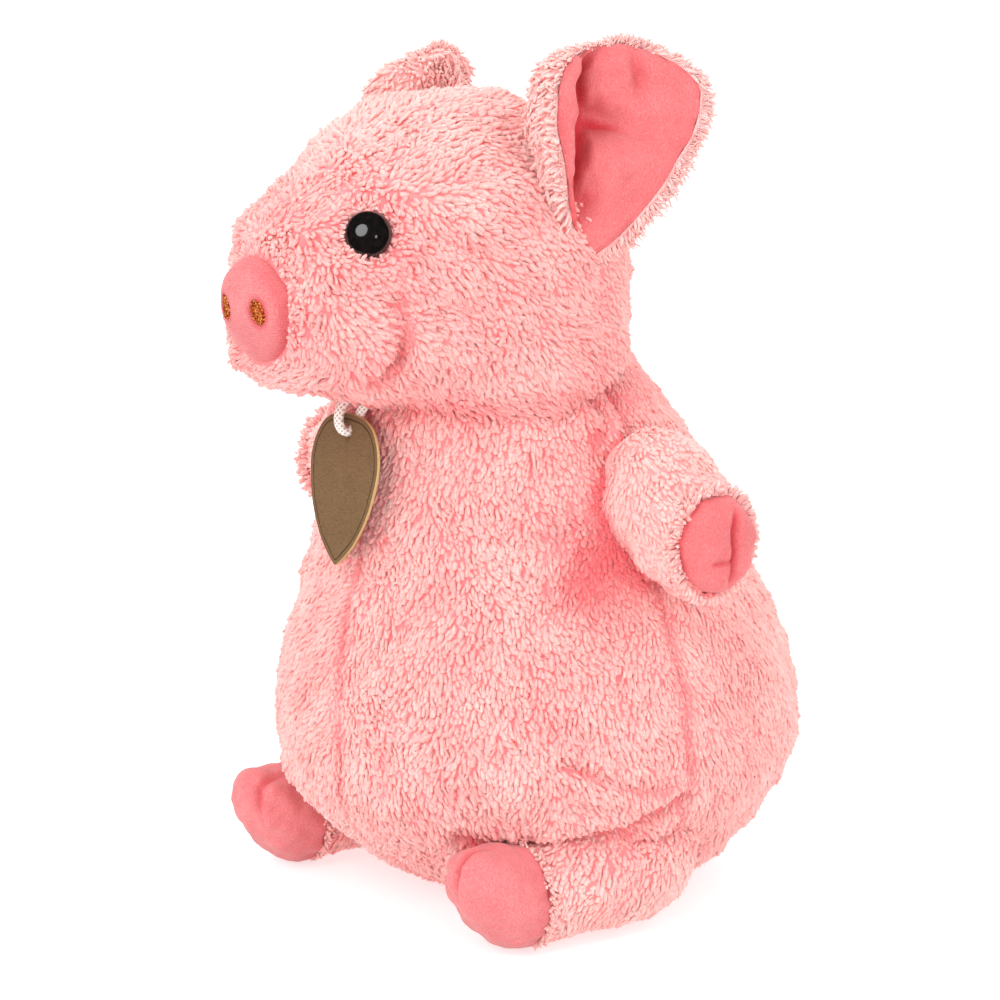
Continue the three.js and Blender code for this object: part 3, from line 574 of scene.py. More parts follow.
class Pile:
    """The fur of one sheet: where each clump stands and how it lies. Panels then take their share."""

    def __init__(self, V, Q, N, base, seed, gap=0.95, length=2.85, width=1.68, keep=None, seams=None, dark=None, short=None,
                 wild=0.30, rise=0.0, fine=0.2, fuzz=0.4, bright=0.66, calm=None):
        r = np.random.default_rng(seed + 7)
        self.rng = r
        P, M = scatter(V, Q, N, gap, seed, keep)
        n = len(P)
        ok = np.ones(n, bool)
        # where the pile lies calm it is combed flatter and closes up
        c = np.full(n, 0.2) if calm is None else np.clip(calm(P), 0, 1)
        cc = 1 - 0.55 * c[:, None]
        flow = base(P) + cc * (wild * (0.75 * SWIRL_A(P) + 0.42 * SWIRL_B(P)) + r.normal(0, 0.24, (n, 3)))
        F = unit(flow - M * (flow * M).sum(-1, keepdims=True))
        near = np.zeros(n) if seams is None else np.exp(-((seams(P) / 1.7) ** 2))
        dk = np.zeros(n) if dark is None else dark(P)
        sh = np.ones(n) if short is None else short(P)
        thin = r.random(n) < fine + 0.25 * c
        L = length * sh * (1 + 0.13 * LEN_A(P)) * r.uniform(0.82, 1.16, n) * (1 - 0.36 * near) * np.where(thin, 1.08, 1.0)
        W = width * r.uniform(0.82, 1.18, n) * np.where(thin, 0.62, 1.0) * np.sqrt(sh)
        up = 0.12 * r.normal(size=n) + rise
        lean0 = np.clip(0.84 + 0.24 * c + (0.14 * r.normal(size=n) - up * 0.5) * (1 - 0.4 * c), 0.1, 1.35)
        lean1 = np.clip(1.38 + 0.13 * c + (0.13 * r.normal(size=n) - up) * (1 - 0.5 * c), 0.45, 1.62)
        # the tone: dark lowers it where shade is painted in, and bright, the sheet's base tone, is raised on the limbs
        # and ears as painted light
        tone = bright + (0.07 * TONE_A(P) + 0.05 * TONE_B(P) + 0.06 * r.normal(size=n)) * (1 - 0.4 * c) - 0.36 * near - dk + np.where(thin, 0.04, 0)
        self.set = [(P, M, F, L, W, np.clip(tone, 0.03, 0.97), lean0, lean1, r.normal(0, 0.16, n), {})]
        # single longer hairs that stand off the pile
        k = r.random(n) < fuzz
        Pk, Mk = P[k] + r.normal(0, 0.4, (k.sum(), 3)) * 0.7, M[k]
        m = len(Pk)
        g = unit(F[k] + 0.5 * r.normal(size=(m, 3)))
        g = unit(g - Mk * (g * Mk).sum(-1, keepdims=True))
        self.set.append((Pk, Mk, g, length * sh[k] * r.uniform(0.8, 1.3, m), r.uniform(0.12, 0.26, m), np.clip(tone[k] + 0.20, 0.05, 0.97),
                         r.uniform(0.3, 0.9, m), r.uniform(0.8, 1.45, m), r.normal(0, 0.3, m),
                         dict(sides=3, vs=(0.0, 0.5), rs=(1.0, 0.8), flat=1.0)))

    def part(self, test=None, floor=True):
        """The clumps whose root passes test, as one mesh."""
        X, T, U, n = [], [], [], 0
        for P, M, F, L, W, tone, a, b, s, kw in self.set:
            k = np.ones(len(P), bool) if test is None else test(P)
            x, t, u = tufts(P[k], M[k], F[k], L[k], W[k], tone[k], a[k], b[k], s[k], **kw)
            X.append(x), T.append(t + n), U.append(u)
            n += len(x)
        X = np.concatenate(X)
        if floor:
            low = X[:, 2] < FLOOR
            X[low, 2] = FLOOR + 0.05 * (FLOOR - X[low, 2]).clip(0, 1)
        return X, np.concatenate(T), np.concatenate(U)


def fur_piece(name, V, Q, N, pile, test=None, thick=0.6, mat=None, tone=None):
    """One panel: its backing shell and its share of the clumps, in one mesh."""
    V, (Q,), N = compact(V, [Q], N)[0], compact(V, [Q], N)[1], compact(V, [Q], N)[2]
    # the ground of the fabric is thick with short fibre
    S, SQ = shell(V + 0.2 * N, Q, N, thick)
    X, T, U = pile.part(test)
    g = 0.44 + 0.08 * TONE_A(S) if tone is None else tone(S)
    # the backing's own place in the map: a thin patch near the root, spread by position so that no face is a line
    us = np.stack([np.clip(g, 0.05, 0.95) + 0.01 * np.sin(S[:, 0] * 2.1 + S[:, 2] * 1.3), 0.02 + 0.012 * (1 + np.sin(S[:, 1] * 2.3 + S[:, 2] * 1.7))], -1)
    return make(name, np.concatenate([S, X]), [SQ, T + len(S)], np.concatenate([us, U]), mat or FUR)


# ---------------------------------------------------------------- torso
TZ = [0, 3, 8, 15, 22, 30, 38, 45, 54, 62, 71, 80, 90, 100, 110, 120, 128, 135, 142, 150, 156, 161, 164.5, 166]
TC = [7, 5.8, 4, 2, 0.2, -1, -0.8, -0.5, -0.7, -1.1, -1.6, -2.3, -3.6, -5.2, -7, -9.1, -11.5, -14.3, -16, -17.8, -18, -18, -18, -18]
TR = [38, 42, 48.5, 55.5, 62, 67.6, 71, 72.3, 71.8, 70, 67.3, 64, 60, 56.2, 53.3, 50.6, 47.9, 44, 39.4, 33.2, 26.5, 18.5, 10, 0.1]
torso_c, torso_r = pchip(TZ, TC), pchip(TZ, TR)
SIDE, BASE, OFFSET = -8.0, 6.0, 1.3
NECK = np.array([0, -15.1, 119.5])

CREASES = [  # polyline, depth, width
    ([(36, -56, 29), (41, -51.5, 28.2), (47, -45.2, 27.4), (52.1, -39.3, 27.1), (57.1, -33.5, 28.5), (61.5, -27.1, 30.4), (66, -18.5, 33.2), (69.7, -12, 36.7), (70.5, -7.5, 38.4)], 3.0, 2.0),
    ([(59, -40.2, 50.7), (61.1, -37, 49.3), (63.7, -32.5, 46.4), (66.4, -27.4, 44.3), (68.4, -21, 42.6), (70.9, -13.2, 42.2)], 2.2, 1.5),
    ([(35.5, -17.6, 146.5), (38.9, -15.6, 141), (41.4, -14.6, 137.4), (43.6, -14.2, 134), (45, -15, 131)], 2.6, 1.5),
]


def seam_x(z):
    """The front seam wanders a little to the pig's left low on the belly."""
    return 5.0 * np.exp(-(((z - 47) / 20) ** 2))


def torso_sheet():
    z = np.concatenate([np.linspace(0, 10, 40), np.linspace(10, 166, 400)[1:]])
    prof = np.concatenate([np.stack([np.zeros(20), np.linspace(2, 37.8, 20)], -1), np.stack([z, torso_r(z)], -1)])
    d = np.concatenate([[0], np.cumsum(np.linalg.norm(np.diff(prof, axis=0), axis=1))])
    s = np.linspace(0, d[-1], int(d[-1] / 1.7))
    pz, pr = np.interp(s, d, prof[:, 0]), np.interp(s, d, prof[:, 1])
    nc = 272
    a = (np.arange(nc) / nc) * 2 * np.pi
    V = np.stack([pr[:, None] * np.cos(a), torso_c(pz)[:, None] + pr[:, None] * np.sin(a), np.repeat(pz[:, None], nc, 1)], -1)
    # a column runs along the front seam, one along the back seam; the side seams are met by moving one point of each ring
    for i in range(len(s)):
        x, y = V[i, :, 0], V[i, :, 1]
        front = np.exp(-(((a - 1.5 * np.pi) / 0.5) ** 2))
        V[i, :, 0] = x + seam_x(pz[i]) * front
        if pr[i] > 12:
            for right in (True, False):
                half = np.where((x > 0) == right)[0]
                j = half[np.argmin(np.abs(y[half] - SIDE))]
                V[i, j, 1] = SIDE
    return V.reshape(-1, 3), grid_quads(len(s), nc)


TV, TQ = torso_sheet()
TQ, TN = outward(TV, TQ, np.array([0, 0, 80.0]))


def torso_seams(P):
    d = np.minimum(np.abs(P[:, 0] - np.where(P[:, 1] < SIDE, seam_x(P[:, 2]), 0)), np.abs(P[:, 1] - SIDE) * 0.8)
    return np.minimum(d, np.where(P[:, 2] < 12, np.abs(P[:, 2] - BASE), 9))


LUMP_A, LUMP_B = waves(601, 17.0), waves(602, 6.5)
push = -OFFSET + 0.35 * LUMP_A(TV) + 0.22 * LUMP_B(TV) - 0.7 * np.exp(-((torso_seams(TV) / 1.3) ** 2))
for line, depth, wide in CREASES:
    for side in (1, -1):
        d = near_line(TV, np.array(line) * [side, 1, 1])
        push += -depth * np.exp(-((d / wide) ** 2)) + 0.35 * depth * np.exp(-(((d - 2.6 * wide) / (1.3 * wide)) ** 2))
# the nape fills the corner under the head
push += 1.8 * np.exp(-(((TV[:, 2] - 141) / 7) ** 2)) * smooth(-8, 3, TV[:, 1])
push = np.where(TV[:, 2] < 5, np.maximum(push, -OFFSET - 0.2), np.maximum(push, -4.4))
TV = TV + TN * push[:, None]
TV[:, 2] = np.maximum(TV[:, 2], 0.9)
TN = normals(TV, TQ)


def torso_rim(P):
    """At the back the fabric runs on under the head, so that the nod opens no gap."""
    return P[:, 2] - (145.0 + 0.33 * np.maximum(0, P[:, 1] + 17) + 5.0 * smooth(-20, 0, P[:, 1]))


mid = TV[TQ].mean(1)
TQ = TQ[torso_rim(mid) < 0]
edge = np.zeros(len(TV), bool)
edge[TQ.ravel()] = True
over = edge & (torso_rim(TV) > 0)
TV[over, 2] -= torso_rim(TV)[over]
mid = TV[TQ].mean(1)

# the limbs' roots stand on the torso: no clumps under them
ARM = np.array([[43.4, -7.5, 117, 8, 10], [46.2, -7.4, 116.6, 11.5, 14.5], [50, -7.1, 115.8, 13.6, 17.2], [56, -6.8, 114.4, 14.8, 19.2], [64, -7, 112, 15.2, 19.8], [71, -7.4, 109.6, 15.2, 18.2], [76.5, -8, 107.5, 14, 15.2], [79, -8.2, 106.9, 12.8, 13.4]])
LEG = np.array([[5.2, 50.5, 19, 9, 8], [2.4, 50.5, 19, 12.5, 12.4], [-2, 50.4, 19, 15.5, 16], [-9, 50, 18.8, 17.6, 18.2], [-20, 49.6, 17.4, 17.8, 17], [-31, 49.1, 15.9, 16.9, 15.5], [-39.5, 48.5, 14.9, 15.9, 14.5], [-45.2, 48, 14.4, 14.5, 13.9], [-46.6, 48, 14.3, 13.8, 13.5]])
arm_at = [pchip(ARM[:, 0], ARM[:, k]) for k in range(1, 5)]
leg_at = [pchip(LEG[::-1, 0], LEG[::-1, k]) for k in range(1, 5)]


def in_arm(P, grow=0.0):
    x = np.abs(P[:, 0])
    return (x > 44) & ((((P[:, 1] - arm_at[0](x)) / (arm_at[2](x) + grow)) ** 2 + ((P[:, 2] - arm_at[1](x)) / (arm_at[3](x) + grow)) ** 2) < 1)


def in_leg(P, grow=0.0):
    y, x = P[:, 1], np.abs(P[:, 0])
    return (y < 4) & (y > -56) & ((((x - leg_at[0](y)) / (leg_at[2](y) + grow)) ** 2 + ((P[:, 2] - leg_at[1](y)) / (leg_at[3](y) + grow)) ** 2) < 1)


def torso_base(P):
    out = np.zeros_like(P)
    out[:, 2] = -1.0
    out[:, 0] = 0.25 * np.sign(P[:, 0])
    low = P[:, 2] < 2.5
    out[low] = unit(P[low] * [1, 1, 0]) * 1.0
    return out


def crease_near(P):
    return np.minimum(1, sum(np.exp(-((near_line(P, np.array(line) * [side, 1, 1]) / (0.8 * wide)) ** 2)) for line, _, wide in CREASES for side in (1, -1)))


def torso_dark(P):
    """Where the pile lies in shade: in front of and under the arms, in the creases and round the limbs' roots."""
    x = np.abs(P[:, 0])
    out = 0.62 * np.exp(-(((x - 52) / 10) ** 2) - ((P[:, 1] + 25) / 12) ** 2 - ((P[:, 2] - 99) / 20) ** 2)
    # painted shade in a band under the head's rim
    out += 0.26 * np.exp(-(((P[:, 2] - 140) / 6) ** 2))
    for line, depth, wide in CREASES:
        for side in (1, -1):
            out += 0.9 * np.exp(-((near_line(P, np.array(line) * [side, 1, 1]) / (0.8 * wide)) ** 2))
    out += np.where(in_arm(P, 1.4), 0.55, np.where(in_leg(P, 1.8), 0.25, 0.0))
    for side in (1, -1):
        # the shade along the arm's front edge, and in the hollow over the hoof
        edge = [(44, -18.1, 132.8), (46.2, -20.3, 127.6), (47.7, -21.3, 121.5), (49.1, -21.4, 115.1), (50.7, -20.7, 108.8), (52.6, -19.2, 102.8), (54.8, -16.6, 97.6), (57.1, -12.8, 92.9)]
        out += 0.5 * np.exp(-((near_line(P, np.array(edge) * [side, 1, 1]) / 2.4) ** 2))
        out += 0.5 * np.exp(-((near_line(P, np.array([(37, -55, 28), (46, -47, 27)]) * [side, 1, 1]) / 3.6) ** 2))
    # painted shade along the floor
    out += 0.25 * np.exp(-((P[:, 2] / 5) ** 2))
    return out


TORSO = Pile(TV, TQ, TN, torso_base, 11, keep=lambda P: ~(in_arm(P, -2.2) | in_leg(P, -2.2)), seams=torso_seams, dark=torso_dark, bright=0.70,
             short=lambda P: np.where(P[:, 2] < 1.6, 0.35, np.where(P[:, 2] < 5, 0.8, 1.0)) * np.where(P[:, 2] > 138, 0.85, 1.0) * (1 - 0.35 * crease_near(P))
             * np.where(P[:, 2] > 146 + 0.33 * np.maximum(0, P[:, 1] + 17), 0.5, 1.0),
             calm=lambda P: 0.25 + 0.6 * smooth(-34, -4, P[:, 1]) - 0.2 * smooth(40, 30, P[:, 2]))


def torso_side(P):
    """0 base, 1 front left, 2 front right, 3 back left, 4 back right"""
    left = P[:, 0] > np.where(P[:, 1] < SIDE, seam_x(P[:, 2]), 0)
    return np.where(P[:, 2] < BASE, 0, np.where(P[:, 1] < SIDE, np.where(left, 1, 2), np.where(left, 3, 4)))


which = torso_side(mid)
for k, name in enumerate(["torso_base_panel", "torso_front_left_panel", "torso_front_right_panel", "torso_back_left_panel", "torso_back_right_panel"]):
    o = fur_piece("fur_" + name, TV, TQ[which == k], TN, TORSO, lambda P, k=k: torso_side(P) == k)
    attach(o, "torso")
    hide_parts(name)

# ---------------------------------------------------------------- head
HY = [-93.5, -91, -86, -76, -60, -40, -22, -10, 2, 9, 13, 14.5]
HT = [178.6, 185.2, 190.9, 198.6, 209.4, 217.5, 218, 214, 204, 194, 184, 172]
HB = [151, 147, 144.5, 142.5, 138, 124, 118, 119, 124, 135, 148, 160]
HW = [14.5, 20.5, 25.5, 31, 38.2, 44.5, 47.5, 45, 36, 24, 12, 0.1]
head_t, head_b, head_w = pchip(HY, HT), pchip(HY, HB), pchip(HY, HW)
SNOUT, SNOUT_R, SNOUT_TILT = np.array([0, -92, 165.0]), 13.8, math.radians(11.7)
SD = np.array([0, -math.cos(SNOUT_TILT), -math.sin(SNOUT_TILT)])
EYE, EYE_R = np.array([24.6, -75.8, 185.4]), 6.2
EYE_DIR = unit(np.array([0.62, -0.70, 0.36]))
HG = 11.8


EYE_OFF, EAR_OFF = np.array([0.4, 2.6, -1.2]), np.array([0.6, 4.6, -6.0])


def eye_at(side):
    """Hand-sewn: the right eye sits a little off a mirror image of the left one."""
    return EYE if side > 0 else EYE * [-1, 1, 1] + EYE_OFF


def head_sheet():
    y = np.linspace(-93.5, 14.5, 1200)
    t, b, w = head_t(y), head_b(y), head_w(y)
    step = np.sqrt(np.diff(y) ** 2 + np.maximum(np.abs(np.diff(w)), np.maximum(np.abs(np.diff(t)), np.abs(np.diff(b)))) ** 2)
    d = np.concatenate([[0], np.cumsum(step)])
    ys = np.interp(np.linspace(0, d[-1], int(d[-1] / 1.5)), d, y)
    nc = 232
    a = ((np.arange(nc) + 0.5) / nc) * 2 * np.pi
    c, s = np.cos(a), np.sin(a)
    p = np.where(s > 0, 2.1, 2.4)
    k = (np.abs(c) ** p + np.abs(s) ** p) ** (-1 / p)
    rows = []
    cap = [(ys[0], f) for f in (0.06, 0.2, 0.34, 0.48, 0.62, 0.75, 0.88)]
    for yy, f in cap + [(v, 1.0) for v in ys]:
        t, b, w = head_t(yy), head_b(yy), max(head_w(yy), 0.5)
        zc = b + 0.45 * (t - b)
        h = np.where(s > 0, t - zc, zc - b)
        q = np.stack([f * w * k * c, np.full(nc, yy), zc + f * h * k * s], -1)
        if w > HG + 1 and f == 1.0:
            for X in (HG, -HG):
                for up in (True, False):
                    half = np.where((s > 0) == up)[0]
                    j = half[np.argmin(np.abs(q[half, 0] - X))]
                    q[j, 0] = X
        rows.append(q)
    V = np.array(rows)
    return V.reshape(-1, 3), grid_quads(len(rows), nc)


HV, HQ = head_sheet()
HQ, HN = outward(HV, HQ, np.array([0, -40, 170.0]))


def head_rim(P):
    return (137.3 + 0.43 * np.maximum(0, P[:, 1] + 27)) - P[:, 2]


def head_seams(P):
    return np.abs(np.abs(P[:, 0]) - HG)


MOUTH = [(31.8, -72.4, 168.7), (32.2, -71.2, 164.6), (32.0, -70.1, 160.7), (30.7, -69.5, 156.2), (28.7, -69.5, 152.9), (26.0, -70.7, 150.4), (23.0, -71.8, 148.4)]
push = -OFFSET + 0.30 * LUMP_A(HV + 40) + 0.25 * LUMP_B(HV + 40) - 0.35 * np.exp(-((head_seams(HV) / 1.3) ** 2))
for side in (1, -1):
    d = near_line(HV, np.array(MOUTH) * [side, 1, 1])
    low = 0.45 + 0.55 * smooth(163, 156, HV[:, 2])
    push += (-4.3 * np.exp(-((d / 2.2) ** 2)) + 1.3 * np.exp(-(((d - 5.6) / 2.4) ** 2))) * low
    # the brow in front of the eye
    push += (1.7 if side > 0 else 1.9) * np.exp(-((near_line(HV, np.array([(14.5, -87, 186.5), (17.5, -81.5, 190.5)]) * [side, 1, 1]) / 5.0) ** 2))
    e = np.linalg.norm(HV - eye_at(side), axis=1)
    push += -0.9 * np.exp(-((e / 7.5) ** 4)) + 0.35 * np.exp(-(((e - 10.5) / 2.5) ** 2))
    r = near_line(HV, np.array([(33, -20.6, 203.6), (39.9, -23.1, 194.2), (45, -20.7, 181.8), (45.5, -16, 176.3)]) * [side, 1, 1])
    push += -0.8 * np.exp(-((r / 2.2) ** 2))
r = np.linalg.norm(np.cross(HV - SNOUT, SD), axis=1)
push -= 0.5 * np.exp(-(((r - 15) / 5) ** 2)) * smooth(-78, -86, HV[:, 1]) * smooth(184, 176, HV[:, 2])
push -= 3.6 * smooth(-6, -12, HV[:, 0]) * np.exp(-(((r - 18) / 8) ** 2)) * smooth(-68, -80, HV[:, 1]) * smooth(186, 178, HV[:, 2]) * smooth(149, 154, HV[:, 2])
push -= 1.3 * smooth(184, 190, HV[:, 2]) * smooth(-58, -70, HV[:, 1]) * smooth(22, 8, HV[:, 0])
push -= 0.9 * smooth(160, 151, HV[:, 2]) * smooth(-74, -84, HV[:, 1]) * smooth(-14, -4, HV[:, 0]) * smooth(147, 152, HV[:, 2])
HV = HV + HN * push[:, None]
HN = normals(HV, HQ)
mid = HV[HQ].mean(1)
HQ = HQ[head_rim(mid) < 0]
edge = np.zeros(len(HV), bool)
edge[HQ.ravel()] = True
under = edge & (head_rim(HV) > 0)
HV[under, 2] += head_rim(HV)[under]
mid = HV[HQ].mean(1)


def disc_dist(P):
    """Distance from the snout's axis, and height over its middle."""
    q = P - SNOUT
    h = q @ SD
    return np.where(h > -30, np.linalg.norm(q - h[:, None] * SD, axis=1), 99.0), h


def eye_dist(P):
    best = np.full(len(P), 99.0)
    for side in (1, -1):
        c, d = eye_at(side), EYE_DIR * [side, 1, 1]
        q = P - c
        h = q @ d
        best = np.minimum(best, np.where(np.abs(h) < 9, np.linalg.norm(q - h[:, None] * d, axis=1), 99))
    return best


def head_base(P):
    x, y, z = P.T
    out = np.zeros_like(P)
    out[:, 1] = 0.55
    out[:, 2] = np.where(z > 195, -0.15, -0.65)
    out[:, 0] = 0.15 * np.sign(x)
    # round the snout the pile leans out over the disc's edge, and away from it further off
    r, h = disc_dist(P)
    away = unit((P - SNOUT) - ((P - SNOUT) @ SD)[:, None] * SD)
    k = np.exp(-(((r - 14) / 5) ** 2))[:, None]
    far = smooth(2, -6, x)[:, None]
    out = out * (1 - k) + k * (0.8 * away + (0.35 - 0.95 * far) * SD)
    # under the snout it hangs forward off the chin
    k = (smooth(157, 150, z) * smooth(-76, -86, y))[:, None]
    out = out * (1 - k) + k * np.array([-0.45, -0.6, -0.35])
    # round the eye it lies along the rim
    for side in (1, -1):
        q = P - eye_at(side)
        e = np.linalg.norm(q, axis=1)
        k = np.exp(-((e / 9) ** 4))[:, None]
        out = out * (1 - k) + k * (0.05 * unit(q) + [0, 0.45, -0.5])
    return out


def mouth_dist(P):
    return np.minimum(near_line(P, MOUTH), near_line(P, np.array(MOUTH) * [-1, 1, 1]))


# the head's dark paints shade into the pile in the mouth crease and under the chin, and lifts the tone over the crown
# as painted light
HEAD = Pile(HV, HQ, HN, head_base, 21, gap=0.94, length=3.1, width=1.7, rise=0.03,
            keep=lambda P: (eye_dist(P) > EYE_R - 0.2) & (disc_dist(P)[0] > SNOUT_R - 0.3),
            seams=lambda P: head_seams(P) + 2.2, bright=0.60, wild=0.24,
            short=lambda P: (1 - 0.42 * np.exp(-((np.maximum(eye_dist(P) - EYE_R, 0) / 2.0) ** 2))) * np.where(P[:, 1] > -20, 0.85, 1.0)
            * (1 - 0.25 * np.exp(-(((disc_dist(P)[0] - 14) / 5) ** 2)) * (0.5 + 0.5 * (P[:, 2] < 172))) * (1 - 0.45 * np.exp(-((mouth_dist(P) / 2.4) ** 2))) * (1 - 0.45 * smooth(2, -6, P[:, 0]) * np.exp(-(((disc_dist(P)[0] - 14) / 6) ** 2)) * (P[:, 1] < -70))
            * (1 + 0.15 * smooth(157, 150, P[:, 2]) * smooth(-78, -86, P[:, 1])) * (1 - 0.2 * smooth(182, 190, P[:, 2]) * smooth(-60, -72, P[:, 1])),
            calm=lambda P: 0.25 + 0.6 * smooth(-52, -14, P[:, 1]),
            dark=lambda P: 1.1 * np.exp(-((mouth_dist(P) / 2.3) ** 2)) * (0.45 + 0.55 * smooth(163, 156, P[:, 2])) - 0.30 * smooth(188, 211, P[:, 2]) + 0.22 * smooth(146, 139, P[:, 2]))

# tips that lie over the rims of the eyes
r = np.random.default_rng(29)
near = np.where((eye_dist(HV) > EYE_R + 0.1) & (eye_dist(HV) < EYE_R + 1.5))[0]
k = r.choice(near, 240)
P, M = HV[k] + r.normal(0, 0.25, (240, 3)) + 0.5 * HN[k], HN[k]
q = P - np.where(P[:, :1] > 0, eye_at(1), eye_at(-1))
F = unit(unit(q) * r.uniform(-1.1, 0.1, (240, 1)) + [0, 0.35, -0.45] + r.normal(0, 0.3, (240, 3)))
F = unit(F - M * (F * M).sum(-1, keepdims=True))
HEAD.set.append((P, M, F, r.uniform(1.5, 2.9, 240), r.uniform(0.6, 1.2, 240), np.clip(r.normal(0.72, 0.08, 240), 0.1, 0.95), r.uniform(0.15, 0.6, 240), r.uniform(0.9, 1.5, 240), r.normal(0, 0.2, 240), {}))


def head_part(P):
    """0 left, 1 right, 2 gusset over the crown, 3 chin"""
    return np.where(P[:, 0] > HG, 0, np.where(P[:, 0] < -HG, 1, np.where(P[:, 2] > 165 + 0.1 * (P[:, 1] + 93) * (P[:, 1] > -93), 2, 3)))


def head_split(P):
    k = head_part(P)
    # behind the nape the strip under the crown is still the gusset
    return np.where((k == 3) & (P[:, 1] > -20), 2, k)


which = head_split(mid)
on_disc = disc_dist(mid)[0] < SNOUT_R - 2.5
for k, name in enumerate(["head_left_side_panel", "head_right_side_panel", "head_gusset_panel", "chin_panel"]):
    o = fur_piece("fur_" + name, HV, HQ[(which == k) & ~on_disc], HN, HEAD, lambda P, k=k: head_split(P) == k)
    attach(o, "head")
    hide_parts(name)


# ---------------------------------------------------------------- turned pieces: snout, eyes
def frame_of(d):
    d = unit(np.asarray(d, float))
    h = np.array([0, 0, 1.0])
    u = unit(np.cross(h, d))
    return u, np.cross(d, u), d


def turned(c, d, profile, n, push=None):
    """Profile (along, radius) turned about d; its first and last points are on the axis. push(V, N) moves it."""
    u, v, w = frame_of(d)
    prof = np.asarray(profile, float)
    a = (np.arange(n) / n) * 2 * np.pi
    ring = np.cos(a)[:, None] * u + np.sin(a)[:, None] * v
    body = prof[:, 0][:, None, None] * w + np.maximum(prof[:, 1], 0.02)[:, None, None] * ring[None]
    V = (np.asarray(c) + body).reshape(-1, 3)
    Q = grid_quads(len(prof), n)
    Q, N = outward(V, Q, np.asarray(c) + w * prof[:, 0].mean())
    if push is not None:
        V = V + N * push(V, N)[:, None]
    return V, Q


def dense(profile, step):
    p = np.asarray(profile, float)
    d = np.concatenate([[0], np.cumsum(np.linalg.norm(np.diff(p, axis=0), axis=1))])
    n = max(3, int(d[-1] / step))
    s = np.linspace(0, d[-1], n)
    out = np.stack([pchip(d, p[:, 0])(s), pchip(d, p[:, 1])(s)], -1)
    out[:, 1] = np.maximum(out[:, 1], 0.02)
    return out


NUP = np.array([0, -SD[2], SD[1]])
NUP = NUP if NUP[2] > 0 else -NUP


def snout_push(V, N):
    q = V - SNOUT
    h = q @ SD
    rad = q - h[:, None] * SD
    r = np.linalg.norm(rad, axis=1)
    out = 0.10 * waves(71, 5.0)(V) - 0.5 * np.exp(-(((r - 13.4) / 0.7) ** 2)) * (h > -1)
    for s in (1, -1):
        c = SNOUT + SD * 4.7 + NUP * 2 + np.array([7.0 * s, 0, 0])
        e = V - c
        x, y = e[:, 0] * math.cos(0.28) * 1 + s * (e @ NUP) * math.sin(0.28), (e @ NUP) * math.cos(0.28) - s * e[:, 0] * math.sin(0.28)
        g = np.sqrt((x / 2.7) ** 2 + (y / 3.5) ** 2)
        out -= 0.42 * np.exp(-(g**4)) * (h > 2)
        out += 0.10 * np.exp(-(((g - 1.5) / 0.35) ** 2)) * (h > 2)
    return out


SN_PROF = [[-3.4, 0], [-3.4, 12.2], [-2.2, 13.6], [-0.6, 13.9], [0.8, 13.55], [2.4, 12.5], [4.0, 10.3], [5.0, 7.2], [5.5, 3.6], [5.7, 0]]
V, Q = turned(SNOUT, SD, dense(SN_PROF, 0.42), 170, snout_push)
q = V - SNOUT
h = q @ SD
r = np.linalg.norm(q - h[:, None] * SD, axis=1)
# painted shade on the snout's velour: darker round its rim, towards its lower side and in the dents round the nostrils
k = 0.30 * np.exp(-(((r - 13.2) / 1.4) ** 2)) + 0.16 * smooth(6, -10, q @ NUP)
for sgn in (1, -1):
    e = V - (SNOUT + SD * 4.7 + NUP * 2 + np.array([7.0 * sgn, 0, 0]))
    k += 0.8 * np.exp(-((np.sqrt((e[:, 0] / 3.2) ** 2 + ((e @ NUP) / 4.1) ** 2)) ** 6))
o = make("velour_snout", V, [Q], np.stack([np.clip(k, 0, 1), 0.5 + 0 * k], -1), SNOUT_MAT, layer="shade")
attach(o, "head")
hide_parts("snout_disc")


def tube(path, radius, n=8, flat=1.0, normal=None, caps=True):
    """A tube along points, as vertices and quads; its ends close to a point."""
    P = np.asarray(path, float)
    r = np.broadcast_to(np.asarray(radius, float), (len(P),))
    t = unit(np.gradient(P, axis=0))
    a = np.asarray(normal if normal is not None else ([0, 0, 1] if abs(t[0][2]) < 0.9 else [1, 0, 0]), float)
    rows = []
    for i in range(len(P)):
        a = unit(a - t[i] * (a @ t[i]))
        b = np.cross(t[i], a)
        ang = (np.arange(n) / n) * 2 * np.pi
        rows.append(P[i] + r[i] * (np.cos(ang)[:, None] * b + flat * np.sin(ang)[:, None] * a))
    if caps:
        rows = [P[0] + (rows[0] - P[0]) * 0.05 - t[0] * r[0] * 0.35] + rows + [P[-1] + (rows[-1] - P[-1]) * 0.05 + t[-1] * r[-1] * 0.35]
    V = np.array(rows).reshape(-1, 3)
    Q = grid_quads(len(rows), n)
    return V, Q


def join(parts):
    V, F, n = [], [], 0
    for v, q in parts:
        V.append(v), F.append(q + n)
        n += len(v)
    return np.concatenate(V), np.concatenate(F)


